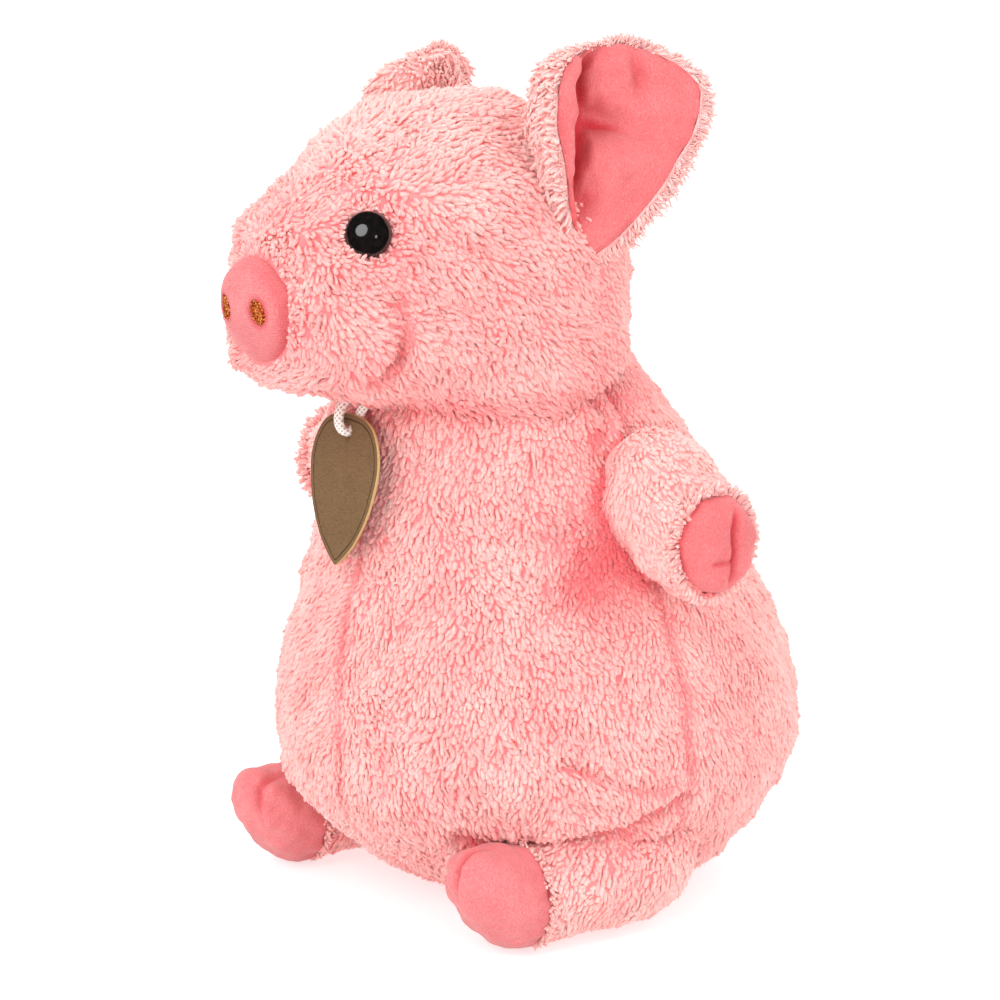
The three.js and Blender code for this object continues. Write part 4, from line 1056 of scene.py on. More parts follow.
# the nostrils: an oval of satin stitches laid side by side in glitter thread
for side, name in ((1, "left"), (-1, "right")):
    c = SNOUT + SD * 4.55 + NUP * 2 + np.array([7.0 * side, 0, 0])
    out = unit(np.array([0.34 * side, SD[1], SD[2] + 0.09]))
    a = unit(np.cross(out, [0, 0, 1.0]))
    b = unit(np.cross(a, out))
    ct, st = math.cos(-0.28 * side), math.sin(-0.28 * side)
    u, v = a * ct + b * st, b * ct - a * st
    rr = np.random.default_rng(40 + side)
    parts = []
    # a low padded bed under the stitches
    bed = [[-1.0, 0], [-1.0, 1.0], [0.0, 1.0], [0.18, 0.92], [0.3, 0.6], [0.34, 0]]
    ang = (np.arange(40) / 40) * 2 * np.pi
    rows = [c + s * out + 2.45 * k * np.cos(ang)[:, None] * u + 3.4 * k * np.sin(ang)[:, None] * v for s, k in [(-1.0, 0.02), (-1.0, 1.0), (0.0, 1.0), (0.2, 0.92), (0.34, 0.6), (0.4, 0.02)]]
    parts.append((np.array(rows).reshape(-1, 3), grid_quads(6, 40)))
    for i in range(21):
        h = -3.0 + 6.0 * i / 20
        w = 2.2 * math.sqrt(max(0, 1 - (h / 3.2) ** 2)) + 0.12 + rr.uniform(-0.08, 0.1)
        s = np.linspace(-1, 1, 13)
        lift = 0.48 * np.sqrt(np.clip(1 - s**2, 0, 1)) + 0.06 * rr.normal() - 0.05
        path = [c + u * (w * k) + v * (h + 0.14 * k * rr.normal() * 0.3 + 0.1 * k) + out * (lift[j] - 0.02) for j, k in enumerate(s)]
        parts.append(tube(path, 0.19 * rr.uniform(0.9, 1.1), 7))
    V, Q = join(parts)
    o = make(f"thread_nostril_{name}", V, [Q], mat=THREAD)
    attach(o, "head")
    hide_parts(f"nostril_{name}")

# the eyes: a glossy dome with a fine rim, on its shank
EYE_PROF = [[-9.5, 0], [-9.5, 1.5], [-9.2, 1.6], [-6.6, 1.7], [-6.4, 2.0], [-1.3, 2.0], [-1.1, 5.4], [-0.9, 5.7], [-0.4, 6.1], [0.2, 6.2], [0.7, 6.12], [1.6, 5.85], [2.4, 5.35], [3.0, 4.72], [3.5, 3.85], [3.85, 2.9], [4.08, 1.9], [4.18, 0.95], [4.2, 0]]
for side, name in ((1, "left"), (-1, "right")):
    prof = np.array(EYE_PROF)
    # the right one is drawn a little deeper by its thread
    V, Q = turned(eye_at(side) - (0 if side > 0 else 0.8) * EYE_DIR * [side, 1, 1], EYE_DIR * [side, 1, 1], prof, 64)
    o = make(f"dome_eye_{name}", V, [Q], mat=EYE_MAT)
    sub = o.modifiers.new("smooth", "SUBSURF")
    sub.levels = sub.render_levels = 1
    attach(o, "head")
    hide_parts(f"eye_{name}")


# ---------------------------------------------------------------- limbs
def ring_sheet(rows):
    """rows: (centre, half size a, half size b, unit u, unit v, angle list). Closed tube sheet."""
    V = np.array([c + a * np.cos(t)[:, None] * u + b * np.sin(t)[:, None] * v for c, a, b, u, v, t in rows])
    return V.reshape(-1, 3), grid_quads(len(rows), V.shape[1])


def limb_sleeve(kind):
    n = 80 if kind == "arm" else 84
    t = (np.arange(n) / n) * 2 * np.pi
    rows = []
    if kind == "arm":
        for x in np.linspace(46.5, 79.6, 28):
            y, z, a, b = (f(x) for f in arm_at)
            end = 1 - 0.03 * smooth(77.5, 79.6, x)
            rows.append((np.array([x, y, z]), a * end, b * end, np.array([0, 1.0, 0]), np.array([0, 0, 1.0]), t))
    else:
        # the root is closed: its outer edge stands clear of the torso
        for y, f0 in [(5.6, 0.05), (5.5, 0.35), (5.3, 0.7), (4.8, 0.95), (3.6, 1.0)] + [(v, 1.0) for v in np.linspace(2.0, -47.2, 37)]:
            x, z, a, b = (f(min(y, 5.2)) for f in leg_at)
            end = f0 * (1 - 0.05 * smooth(-45, -47.4, y))
            rows.append((np.array([x, y, z]), a * end, b * end, np.array([1.0, 0, 0]), np.array([0, 0, 1.0]), t))
    V, Q = ring_sheet(rows)
    Q, N = outward(V, Q, np.array([60, -8, 112.0]) if kind == "arm" else np.array([49, -25, 17.0]))
    push = -OFFSET + 0.35 * LUMP_A(V * 1.3 + 90) + 0.30 * LUMP_B(V * 1.1 + 90)
    if kind == "leg":
        # soft rolls on the leg where the stuffing bunches
        push -= 0.8 * np.exp(-((near_line(V, [(62, -40, 20), (60.5, -42, 14), (60, -42, 8)]) / 2.2) ** 2))
        push -= 0.9 * np.exp(-((near_line(V, [(58, -43, 24), (55, -43, 26)]) / 2.0) ** 2))
    V = V + N * push[:, None]
    V[:, 2] = np.maximum(V[:, 2], 0.9)
    return V, Q, normals(V, Q)


def arm_base(P):
    out = np.zeros_like(P)
    out[:, 0] = 0.55
    out[:, 2] = -0.7
    return out


def leg_base(P):
    out = np.zeros_like(P)
    out[:, 1] = -0.45
    out[:, 2] = -0.55
    return out


def limb_hoof(kind, x0):
    """The velour cap: a rounded box with a stitched cleft over its tip and a seam at its rim."""
    n = 132
    t = (np.arange(n) / n) * 2 * np.pi
    if kind == "arm":
        P = np.array([[78.6, 11.2, 11.8, 106.8], [79.2, 11.9, 12.5, 106.8], [80.2, 11.95, 12.5, 106.8], [81.3, 11.6, 12.1, 106.8], [83.2, 10.5, 11.0, 106.8], [84.6, 8.3, 8.6, 106.8], [85.5, 5.4, 5.8, 106.8], [85.85, 2.4, 2.6, 106.8], [85.9, 0.1, 0.1, 106.8]])
        c0, u, v, w = np.array([0, -8, 0.0]), np.array([0, 1.0, 0]), np.array([0, 0, 1.0]), np.array([1.0, 0, 0])
    else:
        P = np.array([[-46, 12.8, 12.8, 14.4], [-46.8, 13.6, 13.5, 14.4], [-49, 13.9, 13.75, 14.5], [-52, 14, 13.8, 14.9], [-56, 13.3, 12.6, 16.2], [-60.5, 11.4, 10.4, 18.2], [-63.8, 8.4, 7.4, 20.2], [-65.6, 4.6, 4, 21.6], [-66.2, 0.1, 0.1, 22]])
        c0, u, v, w = np.array([48, 0, 0.0]), np.array([1.0, 0, 0]), np.array([0, 0, 1.0]), np.array([0, 1.0, 0])
    d = np.concatenate([[0], np.cumsum(np.linalg.norm(np.diff(P[:, [0, 1]], axis=0), axis=1))])
    s = np.linspace(0, d[-1], 68)
    f = [pchip(d, P[:, k]) for k in range(4)]
    rows = [(c0 + w * f[0](k) + v * f[3](k), float(max(f[1](k), 0.08)), float(max(f[2](k), 0.08)), u, v, t) for k in s]
    V, Q = ring_sheet(rows)
    Q, N = outward(V, Q, c0 + w * (P[0, 0] + P[-1, 0]) / 2 + v * P[2, 3])
    q = V - c0
    along = np.abs(q @ w - P[0, 0]) / abs(P[-1, 0] - P[0, 0])
    zc = np.interp(np.abs(q @ w), np.abs(P[:, 0]), P[:, 3])
    across, up = q @ u, q @ v - zc
    # the cleft, stitched into the tip
    line = x0 + (0.10 if kind == "leg" else 0.05) * up
    on = smooth(0.10, 0.5, along) * (smooth(15, 8, np.abs(up)) * smooth(-8, 4, up) if kind == "leg" else smooth(-12, -7, up) * smooth(10.5, 7, up))
    wide = 0.75 + 0.5 * on
    cut = 1.5 if kind == "leg" else 1.7
    push = -cut * on * np.exp(-(((across - line) / wide) ** 2)) + 0.32 * on * np.exp(-(((across - line) / 4.2) ** 2))
    push += 0.2 * LUMP_B(V * 1.4 + 30) + 0.12 * waves(91, 2.4)(V) - 0.45 * np.exp(-(((along - 0.035) / 0.022) ** 2))
    if kind == "arm":
        # the disc dishes a little and has a short crease low down
        push -= 1.3 * np.exp(-(((across - 0.5) ** 2 + (up - 1) ** 2) / 44)) * smooth(0.3, 0.8, along)
        push -= 0.55 * np.exp(-(((up + 3.9) / 0.8) ** 2)) * smooth(-7, -5, across) * smooth(2.4, 0.6, across)
    # puckers from the rim's stitches
    ang = np.arctan2(up, across)
    push += 0.13 * np.sin(ang * 17 + 1.3 * np.sin(ang * 3)) * np.exp(-(((along - 0.12) / 0.09) ** 2))
    shade = (0.6 if kind == "leg" else 0.9) * on * np.exp(-(((across - line) / (0.8 * wide)) ** 2)) + 0.6 * np.exp(-(((along - 0.03) / 0.03) ** 2))
    if kind == "arm":
        shade += 0.6 * np.exp(-(((up + 3.9) / 0.8) ** 2)) * smooth(-7, -5, across) * smooth(2.4, 0.6, across) + 0.35 * smooth(0.45, 0.1, along)
    shade += 0.22 * smooth(0.4, 0.0, along)
    V = V + N * push[:, None]
    V[:, 2] = np.maximum(V[:, 2], 0.35)
    return V, Q, np.stack([np.clip(shade, 0, 1), 0.5 + 0 * shade], -1)


def rim_fringe(kind, seed):
    """Clumps that stand off the sleeve's end, round the hoof."""
    r = np.random.default_rng(seed)
    n = 430 if kind == "arm" else 300
    a = r.uniform(0, 2 * np.pi, n)
    back = r.uniform(0, 2.2, n)
    if kind == "arm":
        c, ax = np.array([79.3, -8.2, 106.9]), np.array([1.0, 0, 0])
        rad = np.stack([0 * a, np.cos(a), np.sin(a)], -1)
        P = c - back[:, None] * ax + rad * (np.array([0, 12.1, 12.6]))
        F = unit(0.8 * ax + 0.5 * rad + 0.3 * r.normal(size=(n, 3)) + [0, 0, -0.15])
        L = 3.6 * r.uniform(0.75, 1.2, n)
    else:
        c, ax = np.array([48.0, -46.8, 14.3]), np.array([0, -1.0, 0])
        rad = np.stack([np.cos(a), 0 * a, np.sin(a)], -1)
        P = c - back[:, None] * ax + rad * (np.array([12.9, 0, 12.6]))
        F = unit(0.8 * ax + 0.4 * rad + 0.3 * r.normal(size=(n, 3)) + [0, 0, -0.25])
        L = 2.5 * r.uniform(0.75, 1.2, n)
        keep = P[:, 2] > 3
        P, F, L, rad, n = P[keep], F[keep], L[keep], rad[keep], keep.sum()
    N = unit(rad - F * (rad * F).sum(-1, keepdims=True))
    return tufts(P, N, F, L, (1.35 if kind == "arm" else 1.1) * r.uniform(0.75, 1.2, n), np.clip(0.82 + 0.10 * r.normal(size=n), 0.03, 0.97), r.uniform(0.15, 0.7, n), r.uniform(0.7, 1.35, n), r.normal(0, 0.18, n))


def limb_painted_shade(kind):
    # painted shade: darker where the limb meets the torso, under the arm and along its front edge, and low on the leg
    # by the floor; the leg's top is a little lighter, painted light
    def f(P):
        q = P * [1, 1, 1]
        d = np.hypot(q[:, 0], q[:, 1] - torso_c(q[:, 2])) - torso_r(np.clip(q[:, 2], 0, 150))
        out = (0.62 if kind == "arm" else 0.25) * np.exp(-((d / 2.6) ** 2))
        if kind == "arm":
            out += 0.42 * smooth(104, 94, P[:, 2]) + 0.15 * smooth(-18, -24, P[:, 1])
        else:
            out += 0.3 * np.exp(-((P[:, 2] / 5) ** 2)) - 0.06 * smooth(24, 32, P[:, 2])
        return out
    return f


for kind in ("arm", "leg"):
    SV, SQ, SN = limb_sleeve(kind)
    hidden = (lambda P: P[:, 0] > 49.5) if kind == "arm" else (lambda P: (P[:, 1] < -1.5) | ((np.abs(P[:, 0]) > 56) & (P[:, 1] < 6)))
    rim = (lambda P: np.abs(P[:, 0] - 79.3)) if kind == "arm" else (lambda P: np.abs(P[:, 1] + 47))
    # the arms and legs get a higher base tone than the torso, and a paler backing below: painted light
    pile = Pile(SV, SQ, SN, arm_base if kind == "arm" else leg_base, 31 if kind == "arm" else 41, keep=hidden, seams=rim, bright=0.95 if kind == "arm" else 0.84,
                calm=lambda P: np.full(len(P), 0.9 if kind == "arm" else 0.6),
                dark=limb_painted_shade(kind), short=lambda P: np.where(P[:, 2] < 1.6, 0.35, np.where(P[:, 2] < 4, 0.75, 0.96)))
    X, T, U = pile.part()
    fx, ft, fu = rim_fringe(kind, 61)
    X, T, U = np.concatenate([X, fx]), np.concatenate([T, ft + len(X)]), np.concatenate([U, fu])
    S, SQ2 = shell(SV + 0.2 * SN, SQ, SN, 0.6)
    for side, name in ((1, "left"), (-1, "right")):
        flip = np.array([side, 1.0, 1.0])
        # each hoof was stitched by hand: the right foot's cleft sits towards its inner side
        HVV, HQQ, HU = limb_hoof(kind, 2.0 if kind == "arm" else (-1.0 if side > 0 else -6.5))
        g = (0.64 if kind == "arm" else 0.54) + 0.08 * TONE_A(S)
        us = np.stack([g + 0.01 * np.sin(S[:, 0] * 2.1 + S[:, 2] * 1.3), (0.22 if kind == "arm" else 0.08) + 0.012 * (1 + np.sin(S[:, 1] * 2.3 + S[:, 2] * 1.7))], -1)
        faces = [SQ2, T + len(S)]
        hq = HQQ
        if side < 0:
            faces, hq = [f[:, ::-1] for f in faces], HQQ[:, ::-1]
        o = make(f"fur_{kind}_{name}_sleeve", np.concatenate([S, X]) * flip, faces, np.concatenate([us, U]), FUR)
        if kind == "arm":
            put([50 * side, -7, 114.6])
            put([63 * side, -7, 114.6])
            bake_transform(o)
        else:
            put([50 * side, -10, 19])
            put([50 * side, -32, 19])
            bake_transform(o)
        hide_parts(f"{kind}_{name}_sleeve")
        o = make(f"velour_{kind}_{name}_hoof", HVV * flip, [hq], HU, VELOUR_DEEP if kind == "arm" else VELOUR, layer="shade")
        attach(o, f"{kind}_{name}")
        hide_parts(f"{kind}_{name}_hoof")

# ---------------------------------------------------------------- ears
EAR = np.array([43.6, -12, 203.0])
EAR_U = unit(np.array([-0.0901, 0.2001, 0.9756]))
EAR_N = unit(np.array([0.9370, -0.3150, 0.1511]))
EAR_T = np.cross(EAR_U, EAR_N)
ET = [-27, -24, -20.3, -14.7, -7.8, -1, 5.8, 12.4, 17.6, 22.4, 26.0, 28.0]
ear_back = pchip(ET, [-3.0, 0.5, 4.3, 8.7, 13.1, 16.4, 19.6, 21.2, 21.2, 18.0, 11.6, 4.0])
ear_front = pchip([-27, -24, -18, -12, -5.8, -0.4, 5, 13, 19.7, 24, 26.5, 28.0], [-4.5, -6.5, -10, -12.5, -14.8, -17.0, -18.8, -19.0, -17.0, -12, -7.0, -1.0])
ear_fold = pchip([-27, -20, -12, -6, 0, 8, 14, 19.7, 23.5, 26.5, 28], [0.2, 1.6, 4.6, 6.8, 7.8, 8.2, 7.8, 5.6, 2.4, 0.8, 0.2])
ear_strip = pchip([-27, -18, -12, -6, 0, 5, 13, 19.7, 24, 28], [0.5, 0.9, 1.2, 2.4, 3.8, 5.0, 5.2, 3.8, 2.2, 0.6])


def ear_point(s, t, d, side=1):
    P = EAR + np.asarray(s)[..., None] * EAR_T + np.asarray(t)[..., None] * EAR_U + np.asarray(d)[..., None] * EAR_N
    return P


ear_cleft = pchip([-27, -20, -11.6, -3.8, 5.2, 13.9, 18.8, 24, 28], [-3.0, -6.4, -8.6, -7.6, -7.3, -8.5, -9.6, -7.5, -3.0])


def blade(s, t):
    """Depth of the velour over the ear's plane."""
    d = 0.0085 * s * s + 0.0018 * t * t - 0.2
    d = np.where(s < -8, d - 0.0085 * (s * s - 64), d)
    # the pinch: a pocket above, a full lobe with a lip below
    d = d - 4.4 * np.exp(-(((t - 8.2) / 3.4) ** 2) - (((s + 5) / 8.0) ** 2))
    lip = smooth(6.0, 3.6, t + 0.08 * s) * np.exp(-(((t + 3) / 8) ** 2)) * np.exp(-(((s - 0.5) / 9) ** 2))
    d = d + 5.2 * lip
    # a soft crease down from the top and a dent low at the front
    d = d - 1.7 * np.exp(-(((s - 3.6 - 0.25 * (24 - t)) / 1.9) ** 2) - (((t - 21) / 5.5) ** 2))
    d = d - 1.6 * np.exp(-(((t + 14) / 6) ** 2) - (((s + 6) / 3.5) ** 2))
    return d


def ear_rows(nt=124, blade_n=88, wall_n=20, strip_n=12):
    rows = []
    for t in np.linspace(-26.4, 27.8, nt):
        b, f, h, w = float(ear_back(t)), float(ear_front(t)), float(ear_fold(t)), float(ear_strip(t))
        deep = min(1.0, h / 5)
        crest = f + min(w, 0.45 * (b - f))
        foot = crest - 1.3 * deep + 0.3 * (1 - deep)
        s = np.linspace(b, foot, blade_n)
        d = blade(s, np.full_like(s, t))
        # the cleft beside the fold drops steeply
        cl = max(float(ear_cleft(t)), crest + 1.2)
        d = d - (3.3 * smooth(cl + 1.2, cl - 1.5, s) + 0.9 * smooth(cl + 6, cl, s)) * deep
        d = np.maximum(d, -3.5)
        d = d - 0.9 * smooth(b - 2.2, b, s)
        base = d[-1]
        k = np.linspace(0, 1, wall_n + 1)[1:]
        ws = foot + (crest - foot) * smooth(0, 1, k)
        wd = base + (h - base) * (k - 0.06 * np.sin(2 * np.pi * k))
        k = np.linspace(0, 1, strip_n + 1)[1:]
        ss = crest + (f - crest) * k
        sd = h + 0.9 * np.sin(np.pi * np.clip(k * 1.1, 0, 1)) * deep - 0.5 * k * deep
        rows.append((np.concatenate([s, ws, ss]), np.full(blade_n + wall_n + strip_n, t), np.concatenate([d, wd, sd])))
    S, Tt, D = (np.array([r[i] for r in rows]) for i in range(3))
    # relax the corners a little
    for _ in range(2):
        for A in (S, D):
            A[:, 1:-1] = 0.25 * A[:, :-2] + 0.5 * A[:, 1:-1] + 0.25 * A[:, 2:]
            A[1:-1] = 0.25 * A[:-2] + 0.5 * A[1:-1] + 0.25 * A[2:]
    return S, Tt, D


def ear_meshes():
    S, Tt, D = ear_rows()
    V = ear_point(S, Tt, D)
    V = V.reshape(-1, 3)
    Q = grid_quads(*S.shape, closed=False)
    N = normals(V, Q)
    if (N @ EAR_N).sum() < 0:
        Q, N = Q[:, ::-1].copy(), -N
    V = V + N * (0.22 * LUMP_B(V * 1.5) + 0.12 * waves(93, 2.2)(V))[:, None]
    inner = shell(V, Q, N, 1.0)
    # the fur side: from the front seam over the roll, round the back to the back seam
    rows = []
    nt = S.shape[0]
    for i in range(nt):
        t = Tt[i, 0]
        b, h = float(ear_back(t)), float(ear_fold(t))
        f, fd = S[i, -1], D[i, -1]
        bd = D[i, 0]
        swell = min(1.0, h / 5)
        roll = [(f, fd - 0.2), (f - 1.6 * swell - 0.3, fd - 0.1), (f - 3.6 * swell - 0.4, fd - 2.2 * swell - 0.3), (f - 4.3 * swell - 0.3, fd - 4.6 * swell - 0.6),
                (f - 3.0 * swell, -1.2 - 0.9 * swell), (f + 1.5, -3.2 - 1.8 * swell), (0.5 * (b + f), -3.6 - 1.8 * swell), (b - 4, bd - 3.4), (b - 1, bd - 3.2), (b + 1.5, bd - 2.5), (b + 2.3, bd - 1.2), (b + 1.6, bd - 0.2), (b + 0.2, bd + 0.15)]
        r = np.array(roll)
        d = np.concatenate([[0], np.cumsum(np.linalg.norm(np.diff(r, axis=0), axis=1))])
        q = np.linspace(0, d[-1], 64)
        rows.append(np.stack([pchip(d, r[:, 0])(q), np.full(64, t), pchip(d, r[:, 1])(q)], -1))
    R = np.array(rows)
    for _ in range(2):
        R[1:-1] = 0.25 * R[:-2] + 0.5 * R[1:-1] + 0.25 * R[2:]
    OV = ear_point(R[..., 0], R[..., 1], R[..., 2]).reshape(-1, 3)
    OQ = grid_quads(nt, 64, closed=False)
    ON = normals(OV, OQ)
    C = ear_point(np.array(0.0), np.array(0.0), np.array(0.5))
    if ((OV - C) * ON).sum() < 0:
        OQ, ON = OQ[:, ::-1].copy(), -ON
    return (V, Q, N, inner), (OV, OQ, ON)


def inside_head(P, grow):
    """True where a point is deeper inside the head than -grow."""
    y = np.clip(P[:, 1], -93, 14)
    t, b, w = head_t(y), head_b(y), head_w(y)
    zc = b + 0.45 * (t - b)
    h = np.where(P[:, 2] > zc, t - zc, zc - b)
    p = np.where(P[:, 2] > zc, 2.1, 2.4)
    return ((np.abs(P[:, 0]) / np.maximum(w + grow, 1)) ** p + (np.abs(P[:, 2] - zc) / np.maximum(h + grow, 1)) ** p) < 1


(EV, EQ, EN, (EI, EIQ)), (OV, OQ, ON) = ear_meshes()


def ear_flow(P):
    """Over the roll the pile hangs down and back; at the rim it points off the ear."""
    q = P - EAR
    s, t = q @ EAR_T, q @ EAR_U
    out = 0.55 * unit(s[:, None] * EAR_T + (t * 0.8)[:, None] * EAR_U) - 0.55 * EAR_U
    # beside the front seam it lies away from the velour
    k = np.exp(-(((s - ear_front(t)) / 3.0) ** 2))[:, None] * (q @ EAR_N > 3)[:, None]
    return out * (1 - k) + k * (-0.8 * EAR_T - 0.4 * EAR_U)


# the ears' pile gets the palest base tone, painted light
ear_pile = Pile(OV, OQ, ON, ear_flow, 51, gap=1.0, length=3.5, width=1.4, keep=lambda P: ~inside_head(P, -0.5), fine=0.4, fuzz=0.8, rise=0.06, bright=0.98, calm=lambda P: np.full(len(P), 0.6))
EX, ETr, EU = ear_pile.part(floor=False)
# a fringe along the seam, its tips over the velour's edge
rim = []
S0, T0, D0 = ear_rows()
edge_pts = ear_point(S0[:, 0] + 1.3, T0[:, 0], D0[:, 0] - 0.5)
fr = np.concatenate([edge_pts, ear_point(S0[-1, ::2], T0[-1, ::2] + 0.5, D0[-1, ::2] - 0.3), ear_point(S0[::-1, -1] - 0.9, T0[:, 0][::-1], D0[::-1, -1] - 0.2)])
rr = np.random.default_rng(77)
seg = np.concatenate([[0], np.cumsum(np.linalg.norm(np.diff(fr, axis=0), axis=1))])
m = int(seg[-1] / 0.17)
k = np.sort(rr.random(m)) * seg[-1]
FP = np.stack([np.interp(k, seg, fr[:, c]) for c in range(3)], -1) + rr.normal(0, 0.3, (m, 3))
q = FP - EAR
rad = unit((q @ EAR_T)[:, None] * EAR_T + (0.75 * (q @ EAR_U))[:, None] * EAR_U)
FN = unit(rad + 0.5 * EAR_N * rr.uniform(-0.5, 1, (m, 1)))
FF = unit(-0.5 * EAR_U + 0.6 * rr.normal(size=(m, 3)) + 0.3 * EAR_T)
front = k > seg[len(edge_pts) + len(S0[-1, ::2]) - 1]
FN[front] = unit(-0.5 * EAR_T + 0.75 * EAR_N + 0.25 * rr.normal(size=(front.sum(), 3)))
FF[front] = unit(-0.7 * EAR_T - 0.25 * EAR_U + 0.5 * rr.normal(size=(front.sum(), 3)))
FF = unit(FF - FN * (FF * FN).sum(-1, keepdims=True))
a = rr.uniform(-5.0, 9.0, 170)
top = ear_point(a, np.full(170, 27.6) + rr.normal(0, 0.35, 170) - 0.02 * (a - 1.5) ** 2, rr.uniform(-1.6, 0.6, 170))
FP, front = np.concatenate([FP, top]), np.concatenate([front, np.zeros(170, bool)])
FN = np.concatenate([FN, unit(EAR_U + 0.25 * rr.normal(size=(170, 3)))])
g = unit(0.6 * EAR_T + 0.7 * rr.normal(size=(170, 3)))
FF = np.concatenate([FF, unit(g - FN[-170:] * (g * FN[-170:]).sum(-1, keepdims=True))])
ok = ~inside_head(FP, -0.5)
FP, FN, FF, front = FP[ok], FN[ok], FF[ok], front[ok]
m = len(FP)
low = smooth(8, -4, (FP - EAR) @ EAR_U) * smooth(-2, 6, (FP - EAR) @ EAR_T)
fx, ft, fu = tufts(FP, FN, FF, 2.9 * rr.uniform(0.7, 1.25, m) * np.where(front, 0.62, 1.0) * (1 + 0.6 * low), rr.uniform(0.25, 0.8, m), np.clip(0.90 + 0.10 * rr.normal(size=m), 0.05, 0.97), rr.uniform(0.0, 0.5, m), rr.uniform(0.5, 1.3, m), rr.normal(0, 0.2, m))
EX, ETr, EU = np.concatenate([EX, fx]), np.concatenate([ETr, ft + len(EX)]), np.concatenate([EU, fu])

eq = EQ[~inside_head(EV[EQ].mean(1), -1.6)]
oq = OQ[~inside_head(OV[OQ].mean(1), -2.0)]
cv, (cq,), cn = (lambda r: (r[0], r[1], r[2]))(compact(EV, [eq], EN))
IV, IQ = shell(cv, cq, cn, 0.9)
cv, (cq,), cn = (lambda r: (r[0], r[1], r[2]))(compact(OV, [oq], ON))
BV, BQ = shell(cv, cq, cn, 0.5)


def ear_shade(P):
    q = P - EAR
    s, t, d = q @ EAR_T, q @ EAR_U, q @ EAR_N
    cl = ear_cleft(t)
    k = 1.0 * np.exp(-(((s - cl + 1.6) / 2.3) ** 2)) * smooth(-25, -14, t) * smooth(27.5, 20, t) * smooth(6.5, 2.0, d)
    wedge = 1.3 + 1.9 * smooth(1, -9, s)
    k = np.maximum(k, 1.0 * np.exp(-(((t - 6.4) / wedge) ** 2)) * smooth(5, -3, s) * smooth(-14, -9, s))
    k = np.maximum(k, 0.45 * np.exp(-(((t - 10.5) / 4.5) ** 2) - (((s + 6) / 4.5) ** 2)))
    k = np.maximum(k, 0.45 * np.exp(-(((s - 3.6 - 0.25 * (24 - t)) / 1.6) ** 2) - (((t - 21) / 5.0) ** 2)))
    k = np.maximum(k, 0.6 * np.exp(-(((t + 13) / 5) ** 2) - (((s + 6.5) / 2.8) ** 2)))
    return np.stack([k, 0.5 + 0 * k], -1)


for side, name in ((1, "left"), (-1, "right")):
    flip = np.array([side, 1.0, 1.0])
    # the far ear sits a little further back and lower than a mirror image of the near one
    move = np.zeros(3) if side > 0 else EAR_OFF
    # and is sewn a little narrower
    thin = (lambda a: a) if side > 0 else (lambda a: a - 0.13 * ((a - EAR) @ EAR_T)[:, None] * EAR_T)
    f = (lambda a: a) if side > 0 else (lambda a: a[:, ::-1])
    o = make(f"velour_ear_{name}_inner", thin(IV) * flip + move, [f(IQ)], ear_shade(IV), VELOUR_DEEP, layer="shade")
    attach(o, f"ear_{name}")
    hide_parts(f"ear_{name}_inner")
    # the ears' backing gets a pale tone too, painted light
    g = 0.74 + 0.08 * TONE_A(BV)
    us = np.stack([g + 0.01 * np.sin(BV[:, 0] * 2.1 + BV[:, 2] * 1.3), 0.3 + 0.012 * (1 + np.sin(BV[:, 1] * 2.3 + BV[:, 2] * 1.7))], -1)
    o = make(f"fur_ear_{name}_outer", thin(np.concatenate([BV, EX])) * flip + move, [f(BQ), f(ETr + len(BV))], np.concatenate([us, EU]), FUR)
    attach(o, f"ear_{name}")
    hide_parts(f"ear_{name}_outer")

# ---------------------------------------------------------------- tail: a short velour curl
TAIL = np.array([0, 70.6, 52.0])
path = []
for t in np.linspace(0, 1, 70):
    a = t * 2 * np.pi * 1.15
    path.append([5.6 * math.sin(a) * min(1, t * 3), TAIL[1] + 1.5 + 8.5 * min(1, t * 1.6) + 1.5 * t, TAIL[2] + 2 + 6.5 * (1 - math.cos(a)) * min(1, t * 2.2) - t])
path = np.array(path)
for _ in range(4):
    path[1:-1] = 0.25 * path[:-2] + 0.5 * path[1:-1] + 0.25 * path[2:]
tt = np.linspace(0, 1, 70)
V, Q = tube(path, (3.6 - 1.2 * tt) * np.where(tt > 0.94, np.sqrt(np.clip(1 - ((tt - 0.94) / 0.062) ** 2, 0.02, 1)), 1), 30)
Q, N = outward(V, Q, path.mean(0))
o = make("velour_tail", V, [Q], mat=VELOUR)
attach(o, "tail")
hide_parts("tail")

# ---------------------------------------------------------------- hang tag and its cord
TAG_Y, TAG_T, HOLE_Z, HOLE_R, TAG_LEAN = -63.2, 1.0, 131.1, 2.0, math.radians(7.5)
TAGP = [[135.7, 0], [135.3, 4.2], [134.6, 7.2], [132.7, 10.3], [130, 12.3], [127, 13.6], [123, 14.3], [119, 14], [113, 12.6], [109.5, 11.3], [106, 9.5], [102, 6.9], [98.8, 3.9], [96.7, 1.4], [95.9, 0]]


def lean(P):
    """The card leans about its top, its point forward on the belly."""
    y, z = P[:, 1] - TAG_Y, P[:, 2] - 137.0
    c, s = math.cos(TAG_LEAN), math.sin(TAG_LEAN)
    return np.stack([P[:, 0], TAG_Y + y * c + z * s, 137.0 - y * s + z * c], -1)


